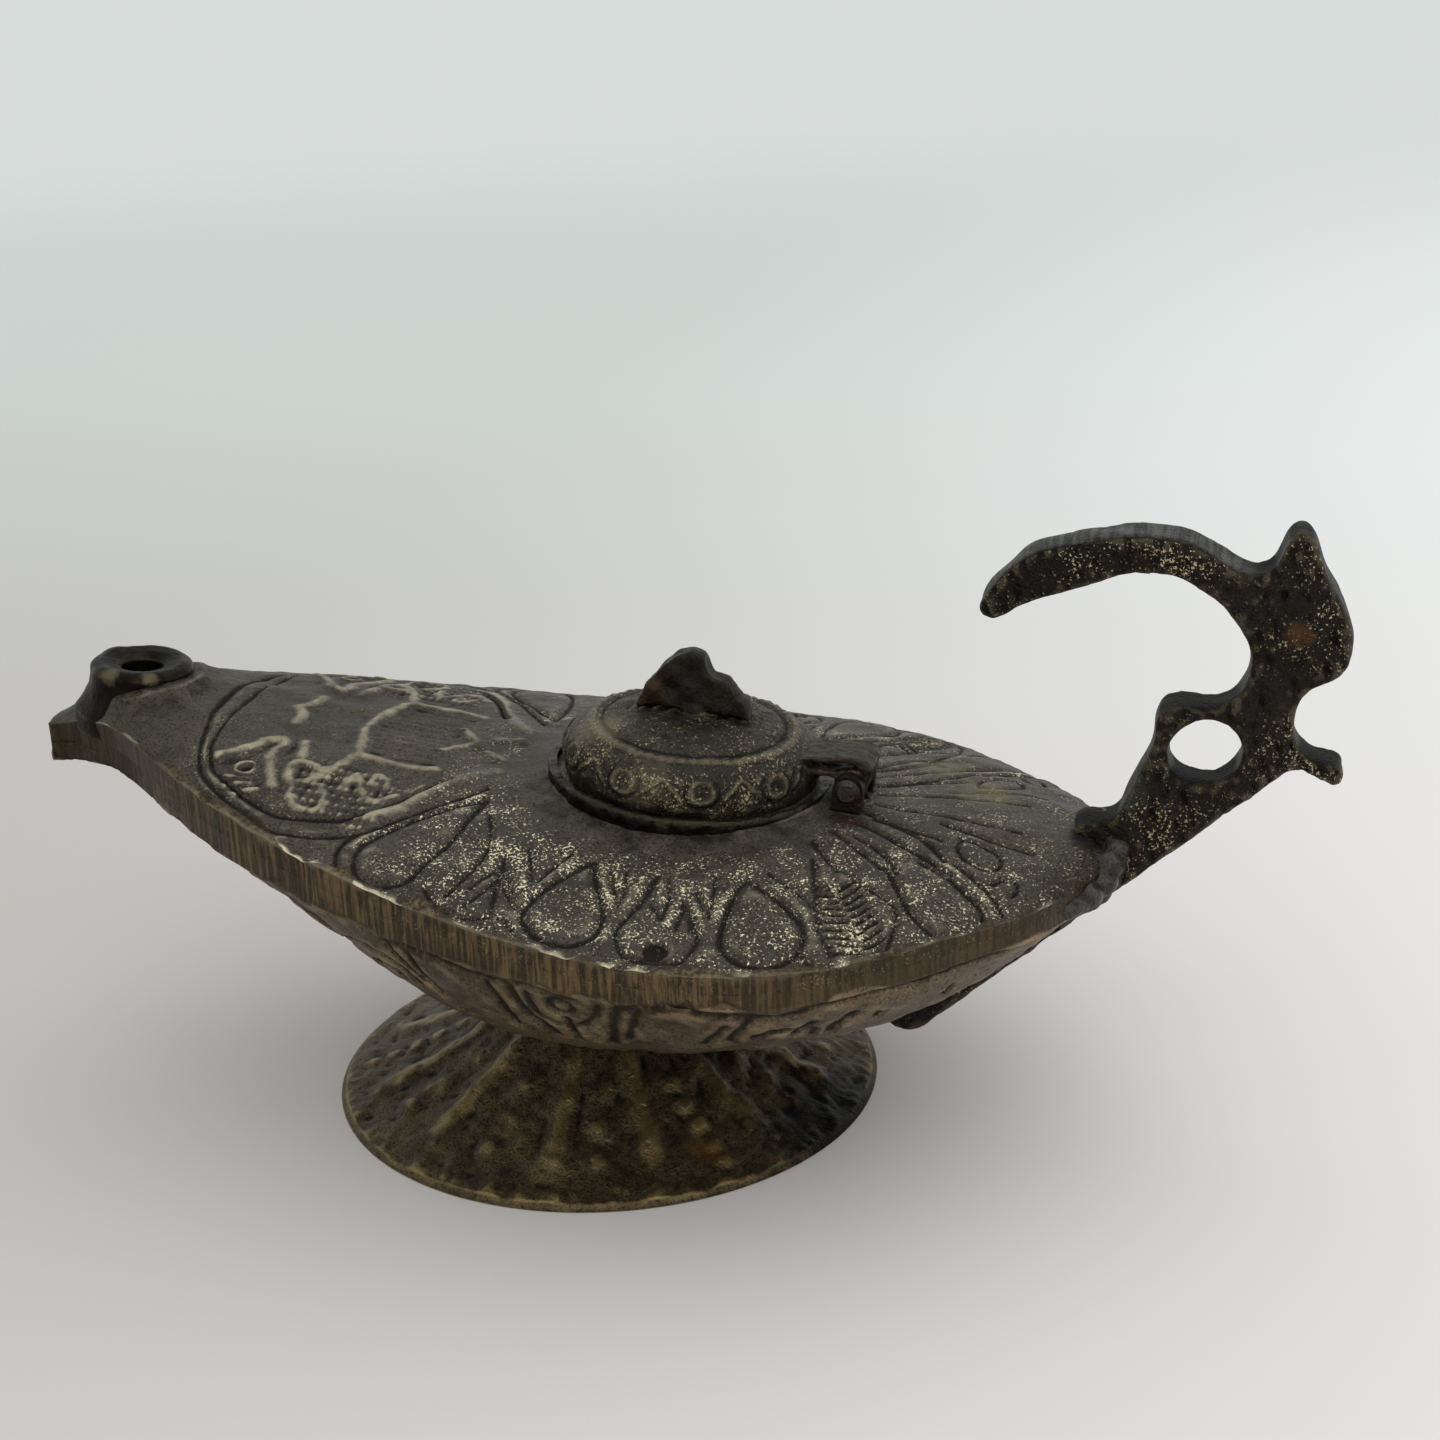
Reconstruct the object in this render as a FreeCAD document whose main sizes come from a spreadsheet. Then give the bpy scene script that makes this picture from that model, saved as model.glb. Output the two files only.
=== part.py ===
"""Cast brass genie oil lamp: a boat-shaped oil vessel on a low round foot, with a wick nozzle at
the bow, a hinged lid over the filler mouth and a flat cast hook handle at the stern.

Frame, in millimetres: the origin is the centre of the foot's flat underside, +Z is up, +X points
to the handle, -X to the nozzle, and the lid's hinge pin lies along Y.
"""
import FreeCAD
import Part
import math
import os
import Sketcher
from FreeCAD import Placement, Rotation, Vector

# Driving dimensions, one cell of the spreadsheet each.
SIZES = {
    # foot
    "foot_radius": 32.0, "foot_height": 11.4, "foot_edge": 0.9, "foot_bevel": 0.7,
    "foot_neck_radius": 10.0, "foot_flare_radius": 51.0, "foot_rim_width": 3.0,
    "foot_table": 2.6, "foot_table_margin": 1.0,
    # screw that holds the vessel on the foot
    "screw_radius": 2.5, "screw_reach": 6.8, "screw_head_overhang": 2.0, "screw_head_height": 2.4,
    "screw_slot_width": 1.2, "screw_slot_depth": 1.1, "screw_tip_chamfer": 0.5,
    "screw_play": 0.3, "thread_play": 0.05, "screw_well": 0.8,
    "washer_overhang": 3.7, "washer_thickness": 1.0,
    # vessel
    "hull_length": 125.1, "bow_reach": 66.8, "half_beam": 37.5, "wall": 2.2,
    "seat_pad_height": 3.0, "boss_wall": 3.1, "boss_cover": 1.6,
    # the lid's seat and the nozzle lean back by this angle, in degrees
    "lean": 6.0,
    # wick nozzle
    "nozzle_rise": 3.0, "nozzle_lip_radius": 6.0, "nozzle_lip_width": 1.1, "nozzle_lip_drop": 0.9,
    "nozzle_lip_round": 1.4, "nozzle_dish_depth": 1.6, "nozzle_waist_swell": 0.3,
    "nozzle_waist_drop": 3.2, "nozzle_foot_swell": 1.8, "nozzle_foot_drop": 5.8,
    "nozzle_root_drop": 6.8, "wick_hole_radius": 2.6, "wick_well_depth": 8.6,
    # filler collar and mouth
    "collar_rise": 1.7, "collar_bore": 15.1, "collar_wall": 1.0, "collar_ledge": 1.5,
    "collar_depth": 4.4, "collar_bevel": 0.3, "mouth_shelf": 3.5,
    # lid, from its widest part: the waist
    "lid_play": 0.5, "lid_seat_gap": 0.2, "lid_wall": 1.6, "lid_foot_inset": 1.0,
    "lid_waist_height": 1.6, "lid_shoulder_inset": 1.2, "lid_shoulder_height": 3.8,
    "lid_step_inset": 3.0, "lid_step_height": 4.9, "lid_crown_height": 6.7,
    "lid_crown_curve": 40.0,
    # hinge: a strap on the lid turns on the pin between two ears on the deck
    "pin_radius": 0.95, "pin_play": 0.05, "pin_head_overhang": 0.45, "pin_head_thickness": 0.6,
    "hinge_offset": 2.5, "knuckle_wall": 0.9, "knuckle_gap": 0.5, "curl_wall": 2.35,
    "curl_start": 46.0, "curl_end": 110.0, "strap_width": 6.2, "strap_root_inset": 2.0,
    "strap_low": 0.55, "strap_high": 2.45, "side_play": 0.2, "ear_thickness": 1.4,
    "ear_wall": 0.75, "ear_pad_drop": 0.7, "ear_pad_depth": 2.2, "ear_pad_margin": 0.6,
    # finial
    "finial_thickness": 2.6, "finial_half_length": 6.5, "finial_gap": 0.25,
    "tenon_radius": 1.8, "tenon_play": 0.1, "tenon_head_overhang": 1.0,
    "tenon_head_height": 1.0, "tenon_head_bevel": 1.1,
    # handle
    "handle_thickness": 6.0, "handle_gap": 0.3,
}

# The vessel's table of offsets, bow to stern: distance from the tip and half breadth as shares of
# the length and the half beam, then, in millimetres above the top of the foot, the heights of the
# rim and the keel, the height of the filed rim band, the rise of the deck and half the keel's flat.
STATION_COLUMNS = ("along", "breadth", "rim", "keel", "band", "crown", "flat")
STATIONS = {
    "tip": (0.000, 0.080, 29.8, 25.3, 4.4, 0.5, 0.5),
    "tongue": (0.026, 0.107, 30.6, 25.6, 4.8, 0.9, 0.7),
    "lip": (0.056, 0.165, 31.8, 26.0, 5.2, 1.5, 1.0),
    "spout": (0.094, 0.245, 32.4, 25.2, 5.4, 2.3, 1.6),
    "neck": (0.174, 0.443, 30.8, 22.6, 5.4, 3.2, 3.0),
    "shoulder": (0.294, 0.675, 27.4, 14.6, 5.2, 4.1, 5.5),
    "breast": (0.438, 0.864, 24.1, 3.6, 4.7, 4.7, 8.0),
    "middle": (0.626, 1.000, 21.3, 1.3, 4.1, 5.1, 9.5),
    "quarter": (0.806, 0.877, 20.6, 4.9, 3.7, 4.5, 8.0),
    "run": (0.918, 0.560, 20.7, 10.8, 3.1, 3.4, 5.0),
    "counter": (0.974, 0.325, 20.8, 15.8, 2.7, 2.0, 2.4),
    "stern": (1.000, 0.133, 21.0, 17.6, 2.4, 1.0, 1.2),
}
HULL_ENDS = ("tip", "stern")
CAVITY_ENDS = ("spout", "counter")

# Outline of the flat handle, from the stern's rim: x aft and z up, anticlockwise. The curve runs
# from the underside of the spur round to the toe on the deck; straight edges lead from there to
# the tang's end under the vessel and from the tang's end back to the spur.
HANDLE_CURVE = (
    (17.3, 10.0), (19.3, 10.9), (22.2, 9.6), (23.5, 9.8), (23.8, 11.1),             # spur
    (21.2, 12.3), (19.0, 13.8), (18.5, 16.4), (19.6, 19.6), (22.6, 21.4),           # notch
    (23.9, 24.6), (22.6, 29.2), (20.7, 33.0), (19.6, 35.8), (18.2, 37.0),           # back
    (16.8, 36.0), (15.2, 32.6), (13.8, 32.2),                                       # spike
    (9.6, 34.3), (3.6, 36.1), (-3.8, 35.3), (-9.2, 33.6), (-12.3, 30.9),            # hook
    (-14.2, 26.9), (-13.4, 26.2),                                                   # its tip
    (-10.5, 27.2), (-3.4, 30.1), (2.4, 31.7), (7.6, 30.5), (12.2, 26.7),            # finger curve
    (13.7, 22.2), (12.9, 19.6),
    (11.2, 17.9), (6.2, 17.7), (4.6, 17.0), (4.2, 14.4), (1.6, 7.4),                # shelf
    (0.0, 4.4), (-2.8, 4.0), (-3.9, 0.4),                                           # toe
)
HANDLE_TANG_CORNER = (-12.0, -6.7)
HANDLE_TANG_END = ((-23.4, -16.5), (-25.4, -19.6), (-24.3, -22.2), (-21.6, -22.9), (-18.9, -21.2))
HANDLE_LOOP_CENTRE = (9.6, 12.5)
HANDLE_LOOP_RADII = (3.8, 3.4)
HANDLE_LOOP_TILT = 20.0

# How far the corners of a section of the vessel rise or sink for each millimetre that it is inset
# from the outer skin: the keel by the whole inset, the rim and the deck's rise by less.
RIM_INSET_SHARE = 0.7
CROWN_INSET_SHARE = 0.3
BAND_INSET_SHARE = 0.3

# The joint between bowl and deck runs at this share of the rim band's height.
SEAM_SHARE = 0.5

# Outline of the finial above its ends, from the middle of the lid's crown: x aft and z up,
# anticlockwise. The ends stand on the crown, half the fin's length either side of the middle.
FINIAL_OUTLINE = (
    (5.9, 1.4), (4.7, 2.6), (3.7, 4.0), (1.7, 4.1), (1.1, 5.2), (0.8, 6.4),
    (-0.7, 6.9), (-2.4, 6.2), (-4.0, 4.6), (-5.6, 2.3), (-6.4, 0.4),
)


class Size(float):
    """A number that also carries the spreadsheet formula it comes from."""

    def __new__(cls, value, formula=None):
        size = super().__new__(cls, value)
        size.formula = formula or repr(float(value))
        return size

    def __add__(self, other):
        return combine(self, "+", other, float(self) + float(other))

    def __sub__(self, other):
        return combine(self, "-", other, float(self) - float(other))

    def __mul__(self, other):
        return combine(self, "*", other, float(self) * float(other))

    def __truediv__(self, other):
        return combine(self, "/", other, float(self) / float(other))

    def __radd__(self, other):
        return combine(other, "+", self, float(other) + float(self))

    def __rsub__(self, other):
        return combine(other, "-", self, float(other) - float(self))

    def __rmul__(self, other):
        return combine(other, "*", self, float(other) * float(self))

    def __neg__(self):
        return combine(0.0, "-", self, -float(self))


def formula_of(number):
    return number.formula if isinstance(number, Size) else repr(float(number))


def combine(left, sign, right, value):
    return Size(value, f"({formula_of(left)} {sign} {formula_of(right)})")


def sine(angle):
    return Size(math.sin(math.radians(angle)), f"sin({formula_of(angle)} * 1deg)")


def root_of(number):
    return Size(math.sqrt(number), f"sqrt({formula_of(number)})")


def cosine(angle):
    return Size(math.cos(math.radians(angle)), f"cos({formula_of(angle)} * 1deg)")


doc = FreeCAD.newDocument("genie_lamp")
sheet = doc.addObject("Spreadsheet::Sheet", "Sizes")
sizes = dict(SIZES)
for station, offsets in STATIONS.items():
    for column, offset in zip(STATION_COLUMNS, offsets):
        sizes[f"{station}_{column}"] = offset
for row, (alias, value) in enumerate(sizes.items(), start=1):
    sheet.set(f"A{row}", alias)
    sheet.set(f"B{row}", str(value))
    sheet.setAlias(f"B{row}", alias)
doc.recompute()


def size(alias):
    return Size(sheet.get(alias), f"Sizes.{alias}")


def bind(thing, path, number):
    thing.setExpression(path, formula_of(number))


# Helpers for sketches and bodies ---------------------------------------------------------------

def new_body(name):
    return doc.addObject("PartDesign::Body", name)


def origin_plane(body, role):
    return next(plane for plane in body.Origin.OriginFeatures if plane.Role == role)


def new_sketch(body, name, role, offset=0.0):
    sketch = body.newObject("Sketcher::SketchObject", name)
    sketch.AttachmentSupport = (origin_plane(body, role), "")
    sketch.MapMode = "FlatFace"
    sketch.AttachmentOffset = Placement(Vector(0, 0, float(offset)), Rotation())
    bind(sketch, "AttachmentOffset.Base.z", offset)
    return sketch


def constrain(sketch, number, *constraint):
    """Adds a sized constraint and binds it to the number's formula."""
    index = sketch.addConstraint(Sketcher.Constraint(*constraint, float(number)))
    bind(sketch, f"Constraints[{index}]", number)


def pin_point(sketch, edge, end, x, y):
    """Holds one end of an edge at x, y from the sketch's origin."""
    for kind, axis, distance in (("DistanceX", -2, x), ("DistanceY", -1, y)):
        if abs(float(distance)) < 1e-9:
            sketch.addConstraint(Sketcher.Constraint("PointOnObject", edge, end, axis))
        elif float(distance) > 0:
            constrain(sketch, distance, kind, -1, 1, edge, end)
        else:
            constrain(sketch, -distance, kind, edge, end, -1, 1)


def arc_between(start, end, radius):
    """The short arc from start to end; a positive radius bulges to the right of the way there."""
    chord = end - start
    middle = (start + end) / 2
    left = Vector(-chord.y, chord.x, 0).normalize()
    distance = math.sqrt(radius ** 2 - (chord.Length / 2) ** 2)
    centre = middle + left * math.copysign(distance, radius)
    circle = Part.Circle(centre, Vector(0, 0, 1), abs(radius))
    first, last = (start, end) if radius > 0 else (end, start)
    angles = [math.atan2(point.y - centre.y, point.x - centre.x) for point in (first, last)]
    return Part.ArcOfCircle(circle, *angles)


def draw_outline(sketch, corners, arcs=None):
    """A closed outline through the corners, anticlockwise. arcs gives the radius of each edge that
    is an arc, by the number of the corner it starts from: outward if positive."""
    arcs = arcs or {}
    points = [Vector(float(x), float(y), 0) for x, y in corners]
    ends = []
    for number, start in enumerate(points):
        end = points[(number + 1) % len(points)]
        radius = arcs.get(number)
        if radius is None:
            edge = sketch.addGeometry(Part.LineSegment(start, end))
            ends.append((edge, 1, 2))
        else:
            edge = sketch.addGeometry(arc_between(start, end, float(radius)))
            ends.append((edge, 1, 2) if radius > 0 else (edge, 2, 1))
    for number, (edge, first, last) in enumerate(ends):
        next_edge, next_first, _ = ends[(number + 1) % len(ends)]
        sketch.addConstraint(Sketcher.Constraint("Coincident", edge, last, next_edge, next_first))
        pin_point(sketch, edge, first, *corners[number])
        radius = arcs.get(number)
        if radius is not None:
            constrain(sketch, radius if radius > 0 else -radius, "Radius", edge)


def draw_circle(sketch, x, y, radius):
    centre = Vector(float(x), float(y), 0)
    circle = sketch.addGeometry(Part.Circle(centre, Vector(0, 0, 1), float(radius)))
    pin_point(sketch, circle, 3, x, y)
    constrain(sketch, radius, "Radius", circle)


def add_curve(sketch, points):
    """A smooth curve through the points, from the first to the last."""
    curve = Part.BSplineCurve()
    curve.interpolate([Vector(x, z, 0) for x, z in points])
    sketch.addGeometry(curve)


def add_line(sketch, start, end):
    sketch.addGeometry(Part.LineSegment(Vector(*start, 0), Vector(*end, 0)))


def revolve(body, name, corners, arcs=None, seam=0.0):
    """A turned solid. seam is the angle, in degrees, from the middle plane to where its surface
    closes on itself."""
    sketch = new_sketch(body, f"{name}_profile", "XZ_Plane")
    sketch.AttachmentOffset = Placement(Vector(), Rotation(Vector(0, 1, 0), seam))
    draw_outline(sketch, corners, arcs)
    turned = body.newObject("PartDesign::Revolution", name)
    turned.Profile = sketch
    turned.ReferenceAxis = (sketch, ["V_Axis"])
    turned.Angle = 360.0
    return turned


def extrude(body, kind, name, sketch, length):
    """Pads or pockets a sketch by half the length to each side of its plane."""
    feature = body.newObject(f"PartDesign::{kind}", name)
    feature.Profile = sketch
    feature.Midplane = True
    bind(feature, "Length", length)
    return feature


def place(thing, x, z, angle=None):
    """Puts a thing's own origin at x, z in the middle plane, leaning back by the angle."""
    turn = Rotation(Vector(0, 1, 0), 0.0 if angle is None else float(angle))
    thing.Placement = Placement(Vector(float(x), 0, float(z)), turn)
    bind(thing, "Placement.Base.x", x)
    bind(thing, "Placement.Base.z", z)
    if angle is not None:
        thing.setExpression("Placement.Rotation.Angle", f"{formula_of(angle)} * 1deg")


def join(kind, name, *things):
    """A Part boolean: Cut and Common take two things, MultiFuse takes any number."""
    result = doc.addObject(f"Part::{kind}", name)
    if kind == "MultiFuse":
        result.Shapes = list(things)
    else:
        result.Base, result.Tool = things
    return result


# The vessel's form ------------------------------------------------------------------------------

def station_size(station, column):
    return size(f"{station}_{column}")


def station_x(station):
    return station_size(station, "along") * size("hull_length") - size("bow_reach")


def rim_z(station):
    return size("foot_height") + station_size(station, "rim")


def crown_z(station):
    return rim_z(station) + station_size(station, "crown")


def section(body, station, inset, x):
    """One closed section across the vessel, drawn inset from its outer skin."""
    half = station_size(station, "breadth") * size("half_beam") - inset
    rim = rim_z(station) - inset * RIM_INSET_SHARE
    crown = station_size(station, "crown") - inset * CROWN_INSET_SHARE
    band = rim_z(station) - station_size(station, "band") + inset * BAND_INSET_SHARE
    keel = size("foot_height") + station_size(station, "keel") + inset
    flat = station_size(station, "flat")
    deck_radius = (half * half + crown * crown) / (2 * crown)
    depth = band - keel
    bilge_radius = ((half - flat) * (half - flat) + depth * depth) / (2 * depth)
    corners = ((-flat, keel), (flat, keel), (half, band), (half, rim), (-half, rim), (-half, band))
    sketch = new_sketch(body, f"{body.Name}_{station}", "YZ_Plane", x)
    draw_outline(sketch, corners, {1: bilge_radius, 3: deck_radius, 5: bilge_radius})
    return sketch


def vessel_form(name, inset, ends):
    """The vessel as one closed solid, smaller than its outer skin by the inset."""
    body = new_body(name)
    names = list(STATIONS)
    names = names[names.index(ends[0]):names.index(ends[1]) + 1]
    grows = float(inset) < 0
    sections = []
    for station in names:
        x = station_x(station)
        if grows and station == ends[0]:
            x = x + inset
        elif grows and station == ends[1]:
            x = x - inset
        sections.append(section(body, station, inset, x))
    loft = body.newObject("PartDesign::AdditiveLoft", f"{name}_loft")
    loft.Profile = sections[0]
    loft.Sections = sections[1:]
    return body


def seam_tool():
    """Everything above the joint between bowl and deck, which runs along the rim band."""
    along = [(station_x(name), rim_z(name) - station_size(name, "band") * SEAM_SHARE)
             for name in ("tip", "lip", "middle", "stern")]
    clear = size("half_beam")
    top = nozzle_z() + clear
    (bow_x, bow_z), (aft_x, aft_z) = along[0], along[-1]
    corners = [(bow_x - clear, bow_z), *along, (aft_x + clear, aft_z),
               (aft_x + clear, top), (bow_x - clear, top)]
    body = new_body("above_seam")
    sketch = new_sketch(body, "seam_line", "XZ_Plane")
    draw_outline(sketch, corners)
    extrude(body, "Pad", "above_seam_pad", sketch, clear * 4)
    return body


# Nozzle and collar -----------------------------------------------------------------------------

# The nozzle's turned surface closes clear of the middle plane, where later cuts pass.
NOZZLE_SEAM = 20.0


def nozzle_z():
    return crown_z("spout") + size("nozzle_rise")


def collar_z():
    return crown_z("middle") + size("collar_rise")


def nozzle_cup():
    lip = size("nozzle_lip_radius")
    foot = lip + size("nozzle_foot_swell")
    body = new_body("nozzle_cup")
    revolve(body, "nozzle_cup_turned", (
        (0.0, -size("nozzle_root_drop")),
        (foot, -size("nozzle_root_drop")),
        (foot, -size("nozzle_foot_drop")),
        (lip + size("nozzle_waist_swell"), -size("nozzle_waist_drop")),
        (lip, -size("nozzle_lip_drop")),
        (lip - size("nozzle_lip_width"), 0.0),
        (0.0, -size("nozzle_dish_depth"))),
        {4: size("nozzle_lip_round")}, NOZZLE_SEAM)
    place(body, station_x("spout"), nozzle_z(), size("lean"))
    return body


def wick_bore():
    bore = doc.addObject("Part::Cylinder", "wick_bore")
    bind(bore, "Radius", size("wick_hole_radius"))
    bind(bore, "Height", size("wick_well_depth") * 2)
    depth = size("wick_well_depth")
    place(bore, station_x("spout") - depth * sine(size("lean")),
          nozzle_z() - depth * cosine(size("lean")), size("lean"))
    return bore


def collar_radius():
    return size("collar_bore") + size("collar_wall")


def mouth_radius():
    return size("collar_bore") - size("mouth_shelf")


def collar_ring():
    bore, bevel = mouth_radius(), size("collar_bevel")
    body = new_body("collar_ring")
    revolve(body, "collar_ring_turned", (
        (bore, -size("collar_depth")),
        (collar_radius(), -size("collar_depth")),
        (collar_radius(), -bevel),
        (collar_radius() - bevel, 0.0),
        (size("collar_bore"), 0.0),
        (size("collar_bore"), -size("collar_ledge")),
        (bore, -size("collar_ledge"))))
    place(body, station_x("middle"), collar_z(), size("lean"))
    return body


def mouth_tool():
    """The filler mouth and, above it, the wider recess that the lid sits in."""
    body = new_body("mouth_tool")
    low, high = -size("collar_depth") * 2, size("collar_depth")
    revolve(body, "mouth_tool_turned", (
        (0.0, low),
        (mouth_radius(), low),
        (mouth_radius(), -size("collar_ledge")),
        (size("collar_bore"), -size("collar_ledge")),
        (size("collar_bore"), high),
        (0.0, high)))
    place(body, station_x("middle"), collar_z(), size("lean"))
    return body


def pin_reach():
    """How far aft of the collar's middle the hinge pin lies."""
    return collar_radius() + size("hinge_offset")


def knuckle_radius():
    return size("pin_radius") + size("knuckle_wall")


def pin_height():
    """Height of the hinge pin above the top of the collar."""
    return knuckle_radius() + size("knuckle_gap") - size("ear_pad_drop")


def ear_radius():
    return size("pin_radius") + size("ear_wall")


def ear_inner():
    """Distance from the middle plane to the inner face of either ear."""
    return size("strap_width") / 2 + size("side_play")


def ear_outer():
    return ear_inner() + size("ear_thickness")


def hinge_block(name, fore, bottom, top):
    """A block as wide as the pad under the hinge's ears, from fore back to the pad's end."""
    aft = pin_reach() + ear_radius() + size("ear_pad_margin")
    body = new_body(name)
    sketch = new_sketch(body, f"{name}_side", "XZ_Plane")
    draw_outline(sketch, ((fore, bottom), (aft, bottom), (aft, top), (fore, top)))
    extrude(body, "Pad", f"{name}_pad", sketch, (ear_outer() + size("ear_pad_margin")) * 2)
    place(body, station_x("middle"), collar_z(), size("lean"))
    return body


def ear_pad():
    """Flat pad on the deck, beside the collar, that the hinge's ears are brazed to."""
    top = -size("ear_pad_drop")
    return hinge_block("ear_pad", collar_radius() - size("collar_wall") / 2,
                       top - size("ear_pad_depth"), top)


def ear_room():
    """The space above the pad, where the deck is filed flat for the ears."""
    top = -size("ear_pad_drop")
    return hinge_block("ear_room", pin_reach() - ear_radius() - size("ear_pad_margin") / 2,
                       top, top + size("ear_pad_depth"))


# The sub-parts ---------------------------------------------------------------------------------

def make_foot():
    hole = size("screw_radius") + size("screw_play")
    top, under = size("foot_height"), size("foot_height") - size("foot_table")
    body = new_body("foot")
    revolve(body, "foot_casting", (
        (hole, under),
        (size("foot_neck_radius") - size("foot_table_margin"), under),
        (size("foot_radius") - size("foot_rim_width"), 0.0),
        (size("foot_radius"), 0.0),
        (size("foot_radius") - size("foot_bevel"), size("foot_edge")),
        (size("foot_neck_radius"), top),
        (hole, top)),
        {1: size("foot_flare_radius"), 4: -size("foot_flare_radius")})
    return body


def make_foot_washer():
    hole = size("screw_radius") + size("screw_play")
    top = size("foot_height") - size("foot_table")
    under = top - size("washer_thickness")
    rim = size("screw_radius") + size("washer_overhang")
    body = new_body("foot_washer")
    revolve(body, "washer_ring", (
        (hole, under), (rim, under), (rim, top), (hole, top)))
    return body


def screw_top():
    return size("foot_height") + size("screw_reach")


def make_foot_screw():
    shoulder = size("foot_height") - size("foot_table") - size("washer_thickness")
    base = shoulder - size("screw_head_height")
    chamfer, radius = size("screw_tip_chamfer"), size("screw_radius")
    head = radius + size("screw_head_overhang")
    body = new_body("foot_screw")
    revolve(body, "screw_turned", (
        (0.0, base), (head, base), (head, shoulder),
        (radius, shoulder), (radius, screw_top() - chamfer), (radius - chamfer, screw_top()),
        (0.0, screw_top())))
    half_slot, reach = size("screw_slot_width") / 2, size("screw_slot_depth")
    slot = new_sketch(body, "slot_side", "XZ_Plane")
    draw_outline(slot, ((-half_slot, base - reach), (half_slot, base - reach),
                        (half_slot, base + reach), (-half_slot, base + reach)))
    extrude(body, "Pocket", "screw_slot", slot, head * 3)
    return body


def bowl_boss():
    """Round pad under the bowl that stands on the foot, and the boss inside it for the screw."""
    pad_top = size("foot_height") + size("seat_pad_height")
    boss_top = screw_top() + size("screw_well") + size("boss_cover")
    boss = size("screw_radius") + size("boss_wall")
    body = new_body("bowl_boss")
    revolve(body, "bowl_boss_turned", (
        (0.0, size("foot_height")), (size("foot_neck_radius"), size("foot_height")),
        (size("foot_neck_radius"), pad_top), (boss, pad_top), (boss, boss_top), (0.0, boss_top)))
    return body


def screw_bore():
    bore = doc.addObject("Part::Cylinder", "screw_bore")
    bind(bore, "Radius", size("screw_radius") + size("thread_play"))
    bind(bore, "Height", size("foot_height") + size("screw_reach") + size("screw_well"))
    return bore


def make_bowl(shell, above):
    lower = join("Cut", "bowl_shell", shell, above)
    solid = join("MultiFuse", "bowl_with_boss", lower, bowl_boss())
    return join("Cut", "bowl", solid, screw_bore())


def make_deck(shell, above):
    upper = join("Common", "deck_shell", shell, above)
    solid = join("MultiFuse", "deck_with_fittings", upper, nozzle_cup(), collar_ring(), ear_pad())
    openings = join("MultiFuse", "deck_openings", wick_bore(), mouth_tool(), ear_room())
    return join("Cut", "deck", solid, openings)


def make_ear(name, side):
    """One of the hinge's two ears; side is -1 for the near one and 1 for the far one."""
    base, height = -size("ear_pad_drop"), pin_height()
    reach, radius = pin_reach(), ear_radius()
    body = new_body(name)
    middle = (ear_inner() + ear_outer()) * (-side / 2)
    plane = new_sketch(body, f"{name}_side", "XZ_Plane", middle)
    draw_outline(plane, ((reach - radius, base), (reach + radius, base), (reach + radius, height),
                         (reach, height + radius), (reach - radius, height)),
                 {2: radius, 3: radius})
    extrude(body, "Pad", f"{name}_plate", plane, size("ear_thickness"))
    eye = new_sketch(body, f"{name}_eye", "XZ_Plane", middle)
    draw_circle(eye, reach, height, size("pin_radius") + size("pin_play"))
    extrude(body, "Pocket", f"{name}_bore", eye, size("ear_thickness") * 2)
    place(body, station_x("middle"), collar_z(), size("lean"))
    return body


def make_hinge_pin():
    """Iron pin with a low peened head at each end, turned about its own axis."""
    half = ear_outer() + size("side_play")
    ends = half + size("pin_head_thickness")
    radius = size("pin_radius")
    head = radius + size("pin_head_overhang")
    body = new_body("hinge_pin")
    sketch = new_sketch(body, "pin_profile", "XY_Plane")
    draw_outline(sketch, (
        (0.0, -ends), (radius, -ends), (head, -half), (radius, -half), (radius, half),
        (head, half), (radius, ends), (0.0, ends)))
    turned = body.newObject("PartDesign::Revolution", "pin_turned")
    turned.Profile = sketch
    turned.ReferenceAxis = (sketch, ["V_Axis"])
    turned.Angle = 360.0
    lean, reach, height = size("lean"), pin_reach(), pin_height()
    place(body, station_x("middle") + reach * cosine(lean) + height * sine(lean),
          collar_z() - reach * sine(lean) + height * cosine(lean), lean)
    return body


def lid_foot_z():
    return size("lid_seat_gap") - size("collar_ledge")


def lid_waist():
    return size("collar_bore") - size("lid_play")


def add_strap(lid):
    """The strap behind the lid, which curls over and down behind the hinge pin."""
    reach, height = pin_reach(), pin_height()
    ring = knuckle_radius()
    curl = size("pin_radius") + size("curl_wall")
    root = lid_waist() - size("strap_root_inset")
    low, high = height + size("strap_low"), height + size("strap_high")
    tangent = reach - root_of(ring * ring - size("strap_low") * size("strap_low"))
    start, end = size("curl_start"), size("curl_end")
    side = new_sketch(lid, "strap_side", "XZ_Plane")
    draw_outline(side, (
        (root, low), (tangent, low), (reach, height - ring), (reach + ring, height),
        (reach + curl * cosine(start), height + curl * sine(start)),
        (reach + curl * cosine(end), height + curl * sine(end)), (root, high)),
        {1: ring, 2: ring, 4: curl})
    extrude(lid, "Pad", "strap", side, size("strap_width"))
    eye = new_sketch(lid, "strap_eye", "XZ_Plane")
    draw_circle(eye, reach, height, size("pin_radius") + size("pin_play"))
    extrude(lid, "Pocket", "strap_bore", eye, size("strap_width") * 2)


def tenon_hole():
    return size("tenon_radius") + size("tenon_play")


def crown_height(radius):
    """Height of the lid's crown above the collar at this distance from the lid's middle."""
    hole, step = tenon_hole(), lid_waist() - size("lid_step_inset")
    fall = (size("lid_crown_height") - size("lid_step_height")) * (radius - hole) / (step - hole)
    bulge = (radius - hole) * (step - radius) / (size("lid_crown_curve") * 2)
    return size("lid_crown_height") - fall + bulge


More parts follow.
